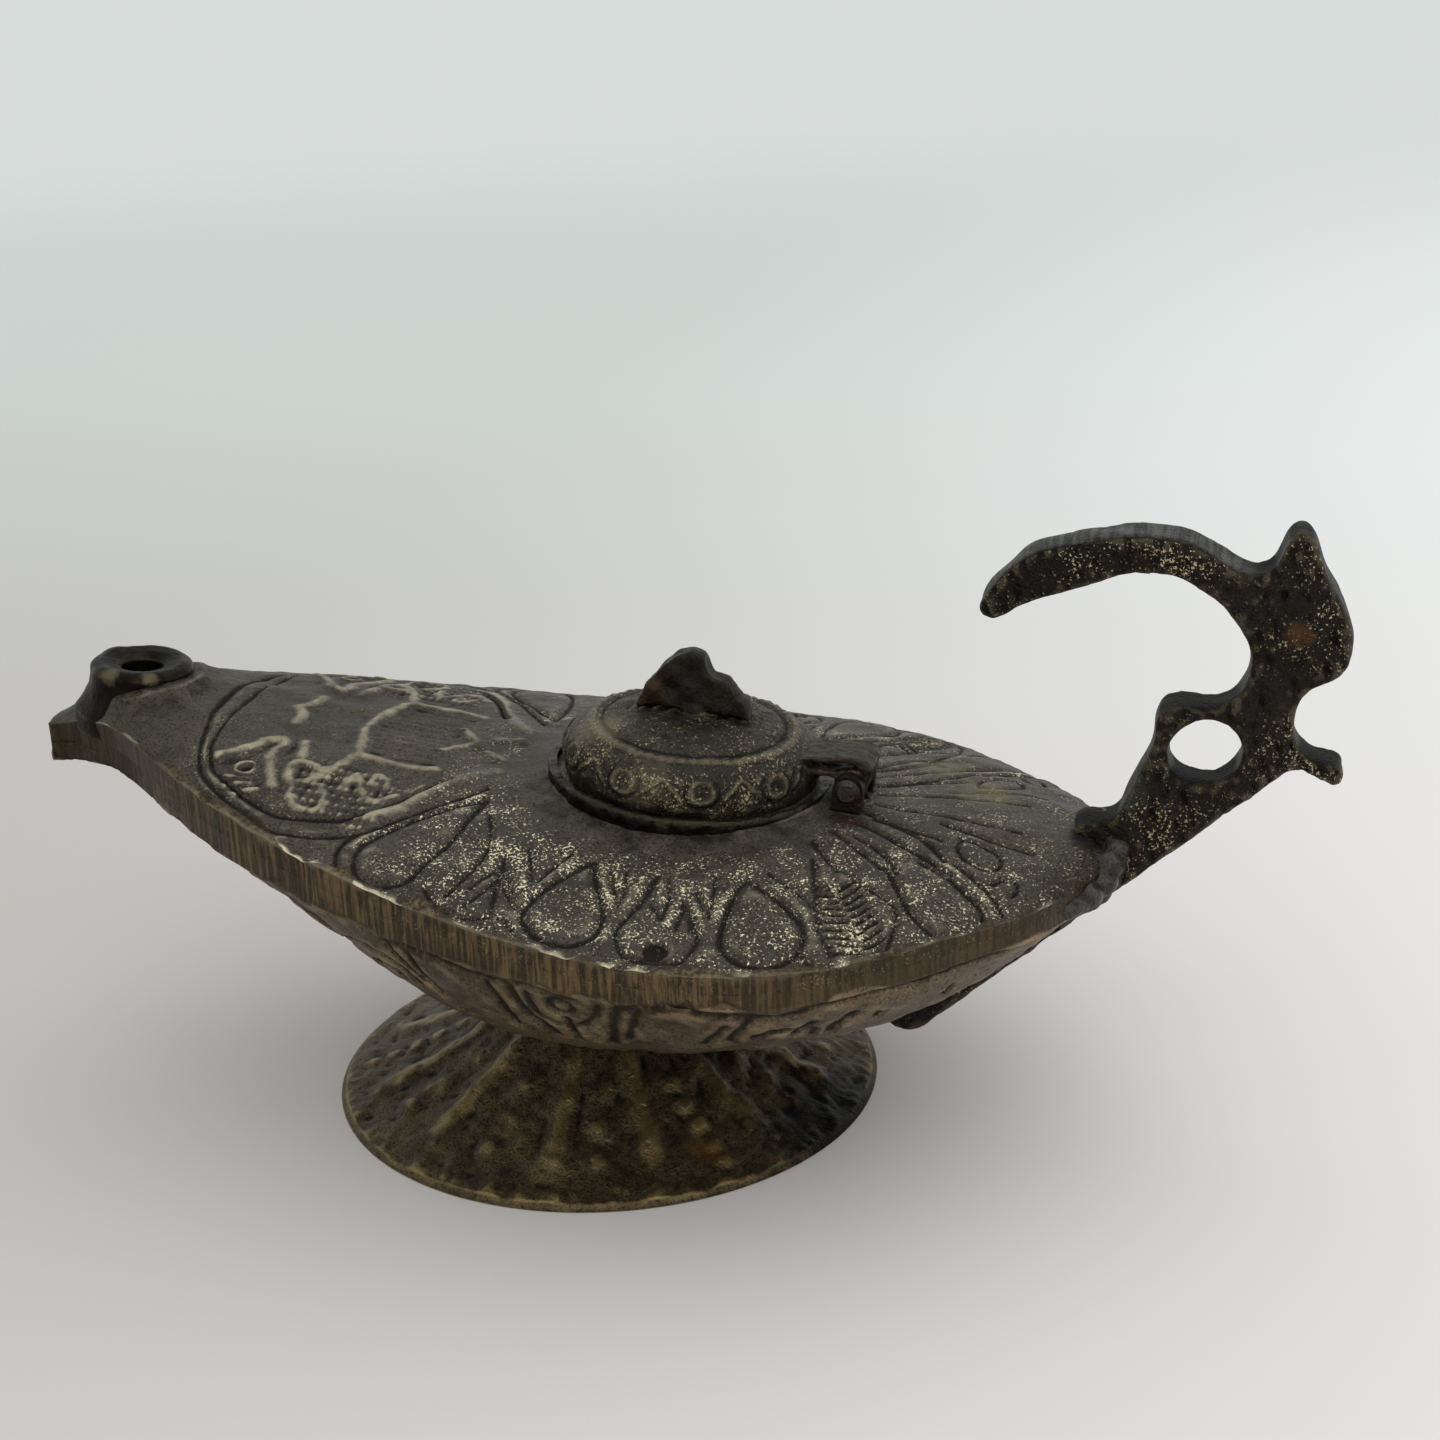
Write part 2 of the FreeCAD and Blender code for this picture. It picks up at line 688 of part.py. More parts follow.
def make_lid():
    wall, foot_z = size("lid_wall"), lid_foot_z()
    hole = tenon_hole()
    waist, waist_z = lid_waist(), size("lid_waist_height")
    foot = waist - size("lid_foot_inset")
    shoulder, shoulder_z = waist - size("lid_shoulder_inset"), size("lid_shoulder_height")
    step, step_z = waist - size("lid_step_inset"), size("lid_step_height")
    top = size("lid_crown_height")
    body = new_body("lid")
    revolve(body, "lid_bun", (
        (foot - wall, foot_z), (foot, foot_z), (waist, waist_z), (shoulder, shoulder_z),
        (step, step_z), (hole, top), (hole, top - wall), (step - wall / 2, step_z - wall),
        (shoulder - wall, shoulder_z - wall), (waist - wall, waist_z)),
        {4: size("lid_crown_curve"), 6: -size("lid_crown_curve")})
    add_strap(body)
    place(body, station_x("middle"), collar_z(), size("lean"))
    return body


def make_finial():
    """Flat fin on the lid, with a round tenon peened over under the crown."""
    body = new_body("finial")
    crown, gap = size("lid_crown_height"), size("finial_gap")
    under = crown - size("lid_wall") - gap
    shank, head = size("tenon_radius"), size("tenon_radius") + size("tenon_head_overhang")
    base = under - size("tenon_head_height")
    half = size("finial_half_length")
    foot = crown_height(half) + gap
    corners = [(half, foot), *((x, crown + gap + z) for x, z in FINIAL_OUTLINE), (-half, foot)]
    fin = new_sketch(body, "fin_side", "XZ_Plane")
    draw_outline(fin, corners, {len(corners) - 1: -size("lid_crown_curve")})
    extrude(body, "Pad", "fin", fin, size("finial_thickness"))
    revolve(body, "tenon", (
        (0.0, base), (head - size("tenon_head_bevel"), base), (head, under), (shank, under),
        (shank, crown + gap * 3), (0.0, crown + gap * 3)))
    place(body, station_x("middle"), collar_z(), size("lean"))
    return body


def make_handle(room):
    """Flat cast plate, notched to the stern, with its tang running on under the vessel."""
    body = new_body("handle_plate")
    side = new_sketch(body, "handle_side", "XZ_Plane")
    add_curve(side, HANDLE_CURVE)
    add_line(side, HANDLE_CURVE[-1], HANDLE_TANG_CORNER)
    add_line(side, HANDLE_TANG_CORNER, HANDLE_TANG_END[0])
    add_curve(side, HANDLE_TANG_END)
    add_line(side, HANDLE_TANG_END[-1], HANDLE_CURVE[0])
    extrude(body, "Pad", "plate", side, size("handle_thickness"))
    loop = new_sketch(body, "loop_side", "XZ_Plane")
    centre = Vector(*HANDLE_LOOP_CENTRE, 0)
    tilt = math.radians(HANDLE_LOOP_TILT)
    long_axis = Vector(math.cos(tilt), math.sin(tilt), 0) * HANDLE_LOOP_RADII[0]
    short_axis = Vector(-math.sin(tilt), math.cos(tilt), 0) * HANDLE_LOOP_RADII[1]
    loop.addGeometry(Part.Ellipse(centre + long_axis, centre + short_axis, centre))
    hole = extrude(body, "Pocket", "loop", loop, size("handle_thickness") * 2)
    body.Tip = hole
    place(body, station_x("stern"), rim_z("stern"))
    return join("Cut", "handle", body, room)


def main():
    hull = vessel_form("hull_form", Size(0.0), HULL_ENDS)
    cavity = vessel_form("cavity_form", size("wall"), CAVITY_ENDS)
    room = vessel_form("hull_room", -size("handle_gap"), HULL_ENDS)
    above = seam_tool()
    shell = join("Cut", "vessel_shell", hull, cavity)
    nodes = {
        "foot": make_foot(),
        "foot_washer": make_foot_washer(),
        "foot_screw": make_foot_screw(),
        "bowl": make_bowl(shell, above),
        "deck": make_deck(shell, above),
        "hinge_ear_near": make_ear("hinge_ear_near", -1),
        "hinge_ear_far": make_ear("hinge_ear_far", 1),
        "hinge_pin": make_hinge_pin(),
        "lid": make_lid(),
        "finial": make_finial(),
        "handle": make_handle(room),
    }
    doc.recompute()
    for thing in doc.Objects:
        if "Invalid" in thing.State or "Error" in thing.State:
            raise RuntimeError(f"{thing.Name} did not build: {thing.State}")
    os.makedirs("parts", exist_ok=True)
    for name, thing in nodes.items():
        thing.Label = name
        shape = thing.Shape
        if shape.isNull() or not shape.isValid() or len(shape.Solids) != 1:
            raise RuntimeError(f"{name} is not one valid solid")
        shape.exportStep(f"parts/{name}.step")
        box = shape.BoundBox
        print(f"{name}: {shape.Volume / 1000:.2f} cm3, x {box.XMin:.1f}..{box.XMax:.1f}, "
              f"y {box.YMin:.1f}..{box.YMax:.1f}, z {box.ZMin:.1f}..{box.ZMax:.1f}")


main()
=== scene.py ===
"""Cast brass genie oil lamp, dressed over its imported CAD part.

The vessel's deck and bowl, the foot and the lid are grids laid on the lamp's own form and then
chased: grooves, ridges, beads and file marks move their points. The handle, fin and hinge are
worked from the outlines that the CAD part has. Lengths are in millimetres until a mesh is made.
"""
import math

import bmesh
import bpy
import numpy as np
from mathutils import Matrix, Vector


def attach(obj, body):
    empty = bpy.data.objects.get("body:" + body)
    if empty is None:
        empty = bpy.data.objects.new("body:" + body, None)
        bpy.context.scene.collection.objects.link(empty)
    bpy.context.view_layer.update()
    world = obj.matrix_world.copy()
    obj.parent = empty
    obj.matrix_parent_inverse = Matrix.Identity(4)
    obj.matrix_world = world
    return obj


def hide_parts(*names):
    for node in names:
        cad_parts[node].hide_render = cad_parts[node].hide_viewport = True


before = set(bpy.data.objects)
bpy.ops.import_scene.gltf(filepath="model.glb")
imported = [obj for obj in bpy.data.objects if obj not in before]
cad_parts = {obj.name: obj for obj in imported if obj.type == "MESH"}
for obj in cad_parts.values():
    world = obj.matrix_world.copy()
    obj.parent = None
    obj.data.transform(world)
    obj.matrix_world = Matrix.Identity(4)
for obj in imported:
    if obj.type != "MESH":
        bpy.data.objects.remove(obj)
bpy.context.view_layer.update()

MM = 0.001
TINY = 1e-9

# The vessel's table of offsets: distance from the foot's axis, half breadth, height of the rim
# and of the keel, height of the filed band, rise of the deck, half the keel's flat.
OFFSETS = np.array((
    (-66.8, 3.0, 41.2, 36.7, 4.4, 0.5, 0.5),
    (-63.55, 4.01, 42.0, 37.0, 4.8, 0.9, 0.7),
    (-59.79, 6.19, 43.2, 37.4, 5.2, 1.5, 1.0),
    (-55.04, 9.19, 43.8, 36.6, 5.4, 2.3, 1.6),
    (-45.03, 16.61, 42.2, 34.0, 5.4, 3.2, 3.0),
    (-30.02, 25.31, 38.8, 26.0, 5.2, 4.1, 5.5),
    (-12.01, 32.4, 35.5, 15.0, 4.7, 4.7, 8.0),
    (11.51, 37.5, 32.7, 12.7, 4.1, 5.1, 9.5),
    (34.03, 32.89, 32.0, 16.3, 3.7, 4.5, 8.0),
    (48.04, 21.0, 32.1, 22.2, 3.1, 3.4, 5.0),
    (55.05, 12.19, 32.2, 27.2, 2.7, 2.0, 2.4),
    (58.3, 4.99, 32.4, 29.0, 2.4, 1.0, 1.2),
))
WALL = 2.2
TIP_X, STERN_X = -66.8, 58.3
# How far out to the side, and how far aft on the handle, a roughened point may stand.
HALF_BREADTH, HANDLE_END = 37.69, 82.19
# Where the hollow begins in the bowl and in the deck, and where it ends in both.
BOWL_CAVITY_FORE, DECK_CAVITY_FORE, CAVITY_AFT = -55.04, -48.0, 55.05

# The lid's seat and the nozzle lean back by this angle; their own frames stand on these points.
LEAN = math.radians(6.0)
COLLAR_TOP = (11.51, 0.0, 39.5)
NOZZLE_TOP = (-55.04, 0.0, 49.1)
COLLAR_RADIUS, COLLAR_BORE, LEDGE_RADIUS, NOZZLE_RADIUS = 16.1, 15.1, 11.6, 7.2
PIN_REACH, PIN_HEIGHT = 18.6, 1.65

# Chased lines on the deck, in plan, for the near side; the far side has the same, mirrored.
# Each is its groove's width and its points. The first four petals are closed and raised inside.
CLOSED_PETALS = 4
PETALS = (
    (0.62, ((-8.5, -12.6), (-10.8, -14.8), (-13.2, -17.7), (-15.6, -20.4), (-17.7, -23.7),
            (-18.4, -26.4), (-17.7, -28.5), (-16.2, -30.0), (-14.0, -30.5), (-12.4, -29.8),
            (-11.5, -28.6), (-10.2, -24.5), (-9.1, -19.5), (-8.5, -12.6))),
    (0.62, ((6.3, -21.5), (5.0, -23.5), (3.5, -26.0), (2.2, -28.5), (1.6, -31.0), (2.2, -33.2),
            (4.5, -35.0), (7.0, -35.3), (9.0, -34.5), (9.9, -32.5), (9.6, -30.0), (8.7, -27.5),
            (7.5, -25.0), (6.3, -21.5))),
    (0.62, ((22.5, -21.0), (22.1, -22.6), (21.9, -25.1), (21.8, -28.3), (22.0, -31.2),
            (22.7, -33.2), (24.2, -34.5), (26.1, -34.8), (28.3, -34.0), (29.8, -32.1),
            (30.2, -29.9), (29.6, -27.8), (28.1, -25.8), (25.7, -23.6), (22.5, -21.0))),
    (0.6, ((36.0, -15.4), (37.7, -18.7), (39.0, -21.4), (40.3, -23.2), (41.9, -24.7),
           (43.6, -25.1), (45.1, -24.3), (46.5, -22.3), (46.9, -20.7), (46.4, -19.1),
           (45.0, -17.8), (43.2, -16.2), (41.5, -14.9), (39.4, -13.4))),
    (0.55, ((43.0, -12.8), (45.3, -15.0), (46.9, -16.4), (48.1, -17.8), (48.7, -19.3),
            (48.8, -21.4))),
    (0.5, ((-19.4, -29.8), (-20.1, -27.6), (-20.5, -26.1), (-19.9, -23.8), (-18.3, -22.1),
           (-16.8, -20.3), (-14.0, -16.9), (-11.3, -13.3), (-9.1, -10.4))),
)
# Sprays of small leaves between the petals.
SPRAYS = (
    (0.5, ((-7.2, -15.5), (-5.4, -21.0), (-5.6, -26.0), (-7.0, -30.5))),
    (0.45, ((-9.5, -30.0), (-7.0, -32.5), (-4.0, -33.3), (-1.0, -32.7), (0.4, -33.4),
            (2.0, -35.0))),
    (0.7, ((-3.0, -23.0), (-2.6, -27.0), (-1.6, -32.0))),
    (0.45, ((-3.0, -25.0), (-5.4, -29.6))), (0.45, ((-2.7, -27.0), (-4.6, -31.6))),
    (0.45, ((-3.0, -24.0), (-0.4, -28.6))), (0.45, ((-2.6, -26.6), (0.6, -31.0))),
    (0.45, ((-1.0, -21.0), (1.0, -26.4))), (0.45, ((3.6, -20.6), (1.6, -26.4))),
    (0.5, ((8.6, -23.0), (9.7, -26.0), (10.8, -28.4))),
    (0.5, ((10.1, -22.6), (10.8, -25.8), (10.8, -28.4))),
    (0.9, ((13.5, -22.6), (13.2, -25.6), (12.8, -28.1))),
    (0.5, ((14.7, -23.1), (15.6, -26.5), (15.6, -29.9))),
    (0.5, ((13.9, -27.2), (14.9, -28.7), (15.6, -29.9))),
    (1.0, ((17.3, -26.8), (17.4, -29.2), (17.2, -30.9))),
    (0.5, ((17.4, -26.8), (18.3, -29.0), (18.9, -30.8))),
    (0.5, ((17.9, -24.2), (19.0, -26.3), (20.2, -28.3))),
    (0.5, ((19.2, -20.9), (19.8, -24.9), (20.3, -28.3))),
    (0.6, ((13.1, -26.0), (12.2, -29.9), (11.7, -32.2), (12.1, -34.0), (13.2, -35.6),
           (15.1, -36.1), (18.1, -35.9), (19.3, -35.1), (19.9, -33.1), (19.6, -31.0),
           (18.4, -28.6), (17.2, -26.5))),
    (0.5, ((24.4, -19.3), (26.7, -21.1), (29.5, -23.4), (30.7, -25.8), (31.5, -28.6))),
    (0.6, ((28.3, -15.2), (29.7, -21.5), (30.8, -25.8), (31.9, -28.8), (33.2, -31.4))),
    (0.5, ((31.8, -17.2), (34.8, -19.8), (37.3, -21.3), (38.5, -23.2), (38.6, -25.7),
           (38.2, -28.8))),
    (0.45, ((30.4, -31.6), (31.4, -33.0), (33.4, -33.6))),
    (0.45, ((47.2, -15.0), (47.9, -14.0), (49.1, -13.4), (49.8, -14.5), (49.3, -16.0))),
)
# Raised, rubbed strokes between the petals, which hold the most gold.
GILT = (
    (1.2, ((7.0, -22.6), (8.3, -25.2), (9.9, -28.8))),
    (1.2, ((11.2, -29.5), (12.1, -25.4), (13.1, -21.7))), (0.8, ((14.2, -23.9), (15.0, -28.0))),
    (1.0, ((16.2, -30.6), (16.6, -28.0), (16.8, -25.2))),
    (0.9, ((17.9, -26.0), (19.1, -28.2), (20.0, -30.6))),
    (1.1, ((21.0, -29.0), (21.1, -26.0), (21.7, -22.6))), (0.7, ((18.5, -23.7), (19.5, -26.0))),
    (0.8, ((13.9, -28.9), (15.2, -30.2))), (0.5, ((22.9, -21.5), (25.6, -23.3), (27.6, -25.4))),
    (0.9, ((25.9, -22.1), (27.9, -24.0), (29.9, -26.0))),
    (1.0, ((42.0, -13.3), (44.4, -15.2), (46.4, -17.1), (47.7, -19.3))),
    (0.8, ((30.6, -19.4), (31.8, -21.4), (32.9, -23.2), (34.4, -25.5), (35.6, -28.0))),
    (1.2, ((34.4, -19.8), (36.2, -20.9), (37.8, -22.3))), (1.0, ((-7.6, -13.4), (-7.2, -16.0))),
    (0.9, ((-9.2, -12.0), (-13.4, -17.3), (-17.2, -21.8), (-19.2, -25.4))),
    (1.1, ((-1.6, -23.0), (0.8, -27.6))), (1.1, ((-4.6, -20.4), (-4.2, -25.0))),
    (1.2, ((4.4, -21.6), (2.4, -25.6), (0.8, -29.4))), (1.0, ((-6.6, -25.0), (-8.0, -29.6))),
)
# How many short ribs the herringbone leaf has on each side of its midrib.
LEAF_RIBS = 10
# The medallion behind the nozzle: its double border, its raised straps and its faint rows.
NECK_BORDERS = (
    (0.55, ((-43.8, 0.0), (-43.6, -6.0), (-42.0, -13.0), (-40.0, -17.0), (-37.7, -19.1),
            (-34.1, -21.4), (-30.1, -23.9), (-26.9, -24.7), (-22.8, -24.4), (-20.1, -23.4),
            (-17.5, -21.2))),
    (0.5, ((-41.6, 0.0), (-41.6, -8.0), (-40.6, -13.4), (-38.7, -16.3), (-36.8, -17.9),
           (-34.0, -19.7), (-31.2, -21.3), (-28.0, -22.1), (-24.4, -21.7), (-22.0, -21.4),
           (-19.5, -19.1), (-17.1, -16.3), (-15.1, -12.3), (-13.6, -9.9))),
)
NECK_STRAPS = (
    (1.6, ((-29.3, -16.9), (-27.9, -15.2), (-26.5, -12.9), (-25.4, -9.8), (-24.7, -8.6),
           (-21.6, -8.9), (-18.6, -9.1), (-15.9, -8.4))),
    (1.6, ((-24.7, -8.6), (-25.7, -5.7), (-26.4, -2.4), (-26.4, 0.0))),
    (1.6, ((-29.3, -16.9), (-30.6, -15.1), (-30.5, -13.0), (-29.3, -12.5), (-27.6, -13.3),
           (-27.1, -14.2))),
    (1.3, ((-29.1, -17.6), (-28.6, -19.3), (-27.4, -20.6), (-26.3, -20.8))),
    (1.3, ((-26.4, -16.0), (-25.2, -17.9), (-24.9, -19.8), (-25.5, -20.8))),
    (1.7, ((-31.3, -8.3), (-30.5, -11.5))), (1.7, ((-35.6, 0.0), (-34.4, -1.6), (-34.2, -4.6))),
    (1.7, ((-35.8, -9.5), (-33.7, -8.6), (-33.4, -10.0), (-33.8, -11.9), (-32.6, -15.2),
           (-31.4, -17.8))),
    (1.5, ((-39.5, -13.9), (-37.3, -12.0), (-35.7, -9.8))),
    (1.3, ((-24.1, -16.1), (-23.6, -13.7), (-22.9, -13.5), (-21.7, -15.8), (-20.8, -16.8),
           (-19.5, -17.1), (-17.9, -15.6))),
    (1.2, ((-20.8, -14.9), (-21.3, -13.5), (-20.9, -12.5), (-19.7, -13.2), (-19.4, -14.7))),
    (2.6, ((-18.9, -19.6), (-16.7, -17.0), (-15.2, -13.7), (-13.8, -11.3), (-11.4, -8.1),
           (-9.4, -6.3))),
    (1.5, ((-16.6, -3.4), (-14.2, -0.6), (-13.8, 0.0))), (1.3, ((-12.0, -2.0), (-9.6, -3.4))),
    (0.7, ((-37.4, -17.4), (-34.8, -16.9))), (0.7, ((-36.4, -18.5), (-33.8, -17.8))),
    (0.7, ((-34.8, -19.4), (-32.6, -18.6))),
)
NECK_ROWS, ROW_SPACING = 6, 1.4
NECK_HATCH = tuple((0.9, ((-25.2 + 0.3 * row, -ROW_SPACING * row), (-16.8, -ROW_SPACING * row)))
                   for row in range(NECK_ROWS))
# Curls and rays between the lid and the handle.
STERN_LINES = tuple((0.5, line) for line in (
    ((40.5, -4.5), (45.0, -6.5), (50.5, -7.6)),
    ((43.0, -7.6), (45.6, -8.4), (47.6, -10.6), (46.4, -12.6), (43.8, -11.4), (42.8, -9.4),
     (43.0, -7.6)),
    ((33.0, -5.0), (38.0, -8.0), (42.0, -12.6)), ((31.0, -9.6), (35.0, -12.4), (37.4, -16.2)),
    ((32.5, -1.6), (40.0, -2.6), (49.0, -4.0)), ((32.0, -4.0), (41.0, -8.6)),
    ((31.0, -6.4), (37.0, -10.6), (43.0, -15.0)), ((29.4, -9.4), (35.6, -15.6)),
    ((27.6, -12.0), (31.4, -17.6)),
))
# The middle of the medallion's eye, and the middle and radius of the pit in a petal.
NECK_EYE, PETAL_PIT = (-35.5, -15.3), (16.3, -34.5, 1.3)

# Chased lines on the bowl: distance along the vessel and down from the filed band.
BOWL_LINES = (
    (0.9, ((-21.5, 9.0), (-20.4, 6.0), (-18.0, 4.0), (-15.0, 3.8), (-12.6, 5.4), (-11.6, 8.2))),
    (0.7, ((-17.6, 10.0), (-16.6, 7.2), (-14.6, 6.6), (-13.6, 8.4))),
    (0.8, ((-13.4, 1.2), (-12.2, 3.6), (-10.6, 5.8))),
    (0.8, ((-11.2, 1.6), (-10.0, 4.6), (-8.6, 7.4))),
    (0.9, ((-1.7, 2.0), (-0.9, 5.0), (-0.2, 10.0))),
    (1.2, ((0.9, 1.0), (1.6, 4.4), (3.2, 8.2), (4.0, 12.0))),
    (1.0, ((2.6, 2.0), (3.4, 5.4), (5.2, 7.0))), (0.9, ((10.6, 1.6), (9.4, 4.6), (7.8, 6.8))),
    (0.8, ((6.4, 5.4), (6.5, 9.0), (6.2, 13.0))),
    (1.2, ((12.9, 1.0), (11.6, 5.0), (10.4, 10.0), (9.8, 13.0))),
    (1.1, ((15.2, 0.4), (13.8, 4.4), (12.2, 9.4))),
    (0.9, ((23.2, 3.6), (21.6, 6.6), (19.8, 10.4))),
    (0.9, ((25.6, 2.6), (23.8, 6.0), (22.4, 9.6))),
    (0.9, ((25.0, 8.6), (26.6, 6.2), (29.2, 5.6), (31.0, 7.4), (30.2, 10.4))),
    (0.8, ((31.4, 4.6), (29.0, 7.4))), (0.9, ((35.4, 4.0), (33.0, 6.8), (32.0, 10.0))),
    (0.8, ((37.6, 5.4), (36.4, 8.4))), (0.8, ((44.0, 5.0), (42.6, 8.0))),
    (0.8, ((-30.0, 3.4), (-27.0, 4.6), (-25.0, 7.6))),
    (0.8, ((-27.4, 2.2), (-24.0, 3.8), (-22.4, 6.2))),
)
# The middle and radius of a ring among them.
BOWL_EYE = (6.4, 2.9, 1.3)
# The ragged step left under the filed band.
BAND_STEP = (
    (1.3, ((13.0, 1.6), (16.6, 0.3), (20.4, 0.1), (23.6, 1.2), (27.6, 2.0), (31.0, 1.5))),
    (1.0, ((31.0, 0.9), (36.0, 0.5), (41.0, 1.1), (46.0, 0.8), (51.0, 1.2), (56.0, 0.9))),
    (0.8, ((-14.0, 0.9), (-9.0, 0.4), (-3.0, 1.0), (3.0, 0.5), (8.0, 0.9))),
)


# Numbers ---------------------------------------------------------------------------------------

def smooth_through(knots, values, at):
    """The natural cubic curve through the values, read at new places."""
    count = len(knots)
    step = np.diff(knots)
    slope = np.diff(values) / step
    system, right = np.eye(count), np.zeros(count)
    for i in range(1, count - 1):
        system[i, i - 1:i + 2] = step[i - 1], 2 * (step[i - 1] + step[i]), step[i]
        right[i] = 6 * (slope[i] - slope[i - 1])
    bend = np.linalg.solve(system, right)
    i = np.clip(np.searchsorted(knots, at) - 1, 0, count - 2)
    t, h = at - knots[i], step[i]
    return (values[i] + t * (slope[i] - h * (2 * bend[i] + bend[i + 1]) / 6)
            + t ** 2 * bend[i] / 2 + t ** 3 * (bend[i + 1] - bend[i]) / (6 * h))


def ease(value, low, high):
    """A smooth step, from 0 at the low end to 1 at the high one."""
    t = np.clip((value - low) / (high - low), 0.0, 1.0)
    return t * t * (3 - 2 * t)


def crest(gap, width, power=2):
    """The height of a rounded ridge, or the depth of a groove, at a gap from its middle."""
    return np.exp(-np.abs(gap / width) ** power)


def swell(gap, height, reach):
    """A rise that is highest against something and falls away from it."""
    return height * np.exp(-np.maximum(gap, 0) / reach)


WAVES = 9


def lumps(points, spacing, seed):
    """Smooth unevenness of about this spacing, mostly from -1 to 1, as sand casting leaves."""
    random = np.random.default_rng(seed)
    total = np.zeros(points.shape[:-1])
    for _ in range(WAVES):
        way = random.normal(size=3)
        way *= random.uniform(0.7, 1.5) * 2 * math.pi / spacing / np.linalg.norm(way)
        total += np.sin(points @ way + random.uniform(0, 2 * math.pi))
    return total / math.sqrt(WAVES)


def roughness(points, *grades):
    """Lumps of several grades together. Each grade is its height, its spacing and its seed."""
    return sum(height * lumps(points, spacing, seed) for height, spacing, seed in grades)


def rounded(points):
    """A drawn line with three more points in each of its spans, so that it bends smoothly."""
    line = np.array(points, float)
    if len(line) < 3:
        return line
    along = np.arange(len(line), dtype=float)
    fine = np.linspace(0, len(line) - 1, 4 * (len(line) - 1) + 1)
    return np.stack([smooth_through(along, line[:, i], fine) for i in range(2)], axis=-1)


LINE_REACH = 3.0


def distance_to_line(flat, line):
    """How far each flat point is from the line, at most its reach."""
    far = np.full(len(flat), LINE_REACH)
    for start, end in zip(line[:-1], line[1:]):
        low, high = np.minimum(start, end) - LINE_REACH, np.maximum(start, end) + LINE_REACH
        near = np.nonzero(np.all((flat > low) & (flat < high), axis=1))[0]
        way = end - start
        from_start = flat[near] - start
        share = np.clip(from_start @ way / max(way @ way, TINY), 0, 1)
        gap = np.linalg.norm(from_start - share[:, None] * way, axis=1)
        far[near] = np.minimum(far[near], gap)
    return far


def cut(flat, lines):
    """Depth, from 0 to 1, of the deepest chased line at each flat point."""
    depth = np.zeros(len(flat))
    for width, points in lines:
        gap = distance_to_line(flat, rounded(points))
        depth = np.maximum(depth, crest(gap, 0.5 * width + 0.05))
    return depth


# Meshes ----------------------------------------------------------------------------------------

def lean_frame(origin):
    return Matrix.Translation(Vector(origin) * MM) @ Matrix.Rotation(LEAN, 4, "Y")


def grid_object(name, columns, rows):
    """A grid primitive, its points in an array of columns by rows."""
    bpy.ops.object.select_all(action="DESELECT")
    bpy.ops.mesh.primitive_grid_add(x_subdivisions=columns, y_subdivisions=rows, size=2)
    piece = bpy.context.object
    piece.name = piece.data.name = name
    flat = read(piece, "co").round(6)
    return piece, np.lexsort((flat[:, 1], flat[:, 0])).reshape(columns + 1, rows + 1)


def in_order(order, values):
    """A grid's values, by column and row, in the order of its points."""
    ordered = np.empty((order.size, *values.shape[2:]))
    ordered[order.ravel()] = values.reshape(ordered.shape)
    return ordered


def read(piece, field):
    """One of the mesh's own fields, three numbers for each point."""
    values = np.zeros(len(piece.data.vertices) * 3)
    piece.data.vertices.foreach_get(field, values)
    return values.reshape(-1, 3)


def set_points(piece, points):
    piece.data.vertices.foreach_set("co", (np.asarray(points) * MM).astype(np.float32).ravel())
    piece.data.update()


def get_points(piece):
    return read(piece, "co") / MM


def get_normals(piece):
    return read(piece, "normal")


def paint(piece, **fields):
    """Stores numbers for each point, which the materials read by name."""
    for name, values in fields.items():
        attribute = piece.data.attributes.new(name, "FLOAT", "POINT")
        attribute.data.foreach_set("value", np.asarray(values, np.float32).ravel())


def only(piece):
    """Selects the piece alone."""
    bpy.ops.object.select_all(action="DESELECT")
    piece.select_set(True)
    bpy.context.view_layer.objects.active = piece


def finish_piece(piece, body, nodes, material, angle):
    """Puts the piece on its body in place of CAD nodes, with its finish and smooth shading."""
    piece.data.materials.clear()
    piece.data.materials.append(material)
    only(piece)
    if angle is None:
        bpy.ops.object.shade_smooth()
    else:
        bpy.ops.object.shade_smooth_by_angle(angle=math.radians(angle))
    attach(piece, body)
    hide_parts(*nodes)


def stitch(form, first, second, key, turn=0.0):
    """Joins two rows of corners with triangles, in the order of their keys. A turn closes them."""
    rows = []
    for row in (first, second):
        corners = sorted(row, key=key)
        keys = [key(corner) for corner in corners]
        if turn:
            corners, keys = [*corners, corners[0]], [*keys, keys[0] + turn]
        rows.append((corners, keys))
    (first, at_first), (second, at_second) = rows
    i = j = 0
    while i < len(first) - 1 or j < len(second) - 1:
        if j == len(second) - 1 or (i < len(first) - 1 and at_first[i + 1] <= at_second[j + 1]):
            form.faces.new((first[i], first[i + 1], second[j]))
            i += 1
        else:
            form.faces.new((first[i], second[j + 1], second[j]))
            j += 1


# How far outside a new hole's circle its loose corners may lie.
HOLE_MARGIN = 2.5


def open_hole(form, corners, centre, radius):
    """Drops a sheet's faces round a centre and returns the corners left, moved onto the circle."""
    def away(place):
        return Vector((place.x / MM - centre[0], place.y / MM - centre[1]))

    faces = {face for corner in corners for face in corner.link_faces}
    bmesh.ops.delete(form, geom=[f for f in faces if away(f.calc_center_median()).length < radius],
                     context="FACES")
    edge = [c for c in corners
            if c.is_valid and c.is_boundary and away(c.co).length < radius + HOLE_MARGIN]
    for corner in edge:
        flat = away(corner.co).normalized() * radius
        corner.co.x, corner.co.y = (flat.x + centre[0]) * MM, (flat.y + centre[1]) * MM
    return edge


def round_key(centre):
    """Orders corners by their direction from a centre."""
    return lambda corner: math.atan2(corner.co.y / MM - centre[1], corner.co.x / MM - centre[0])


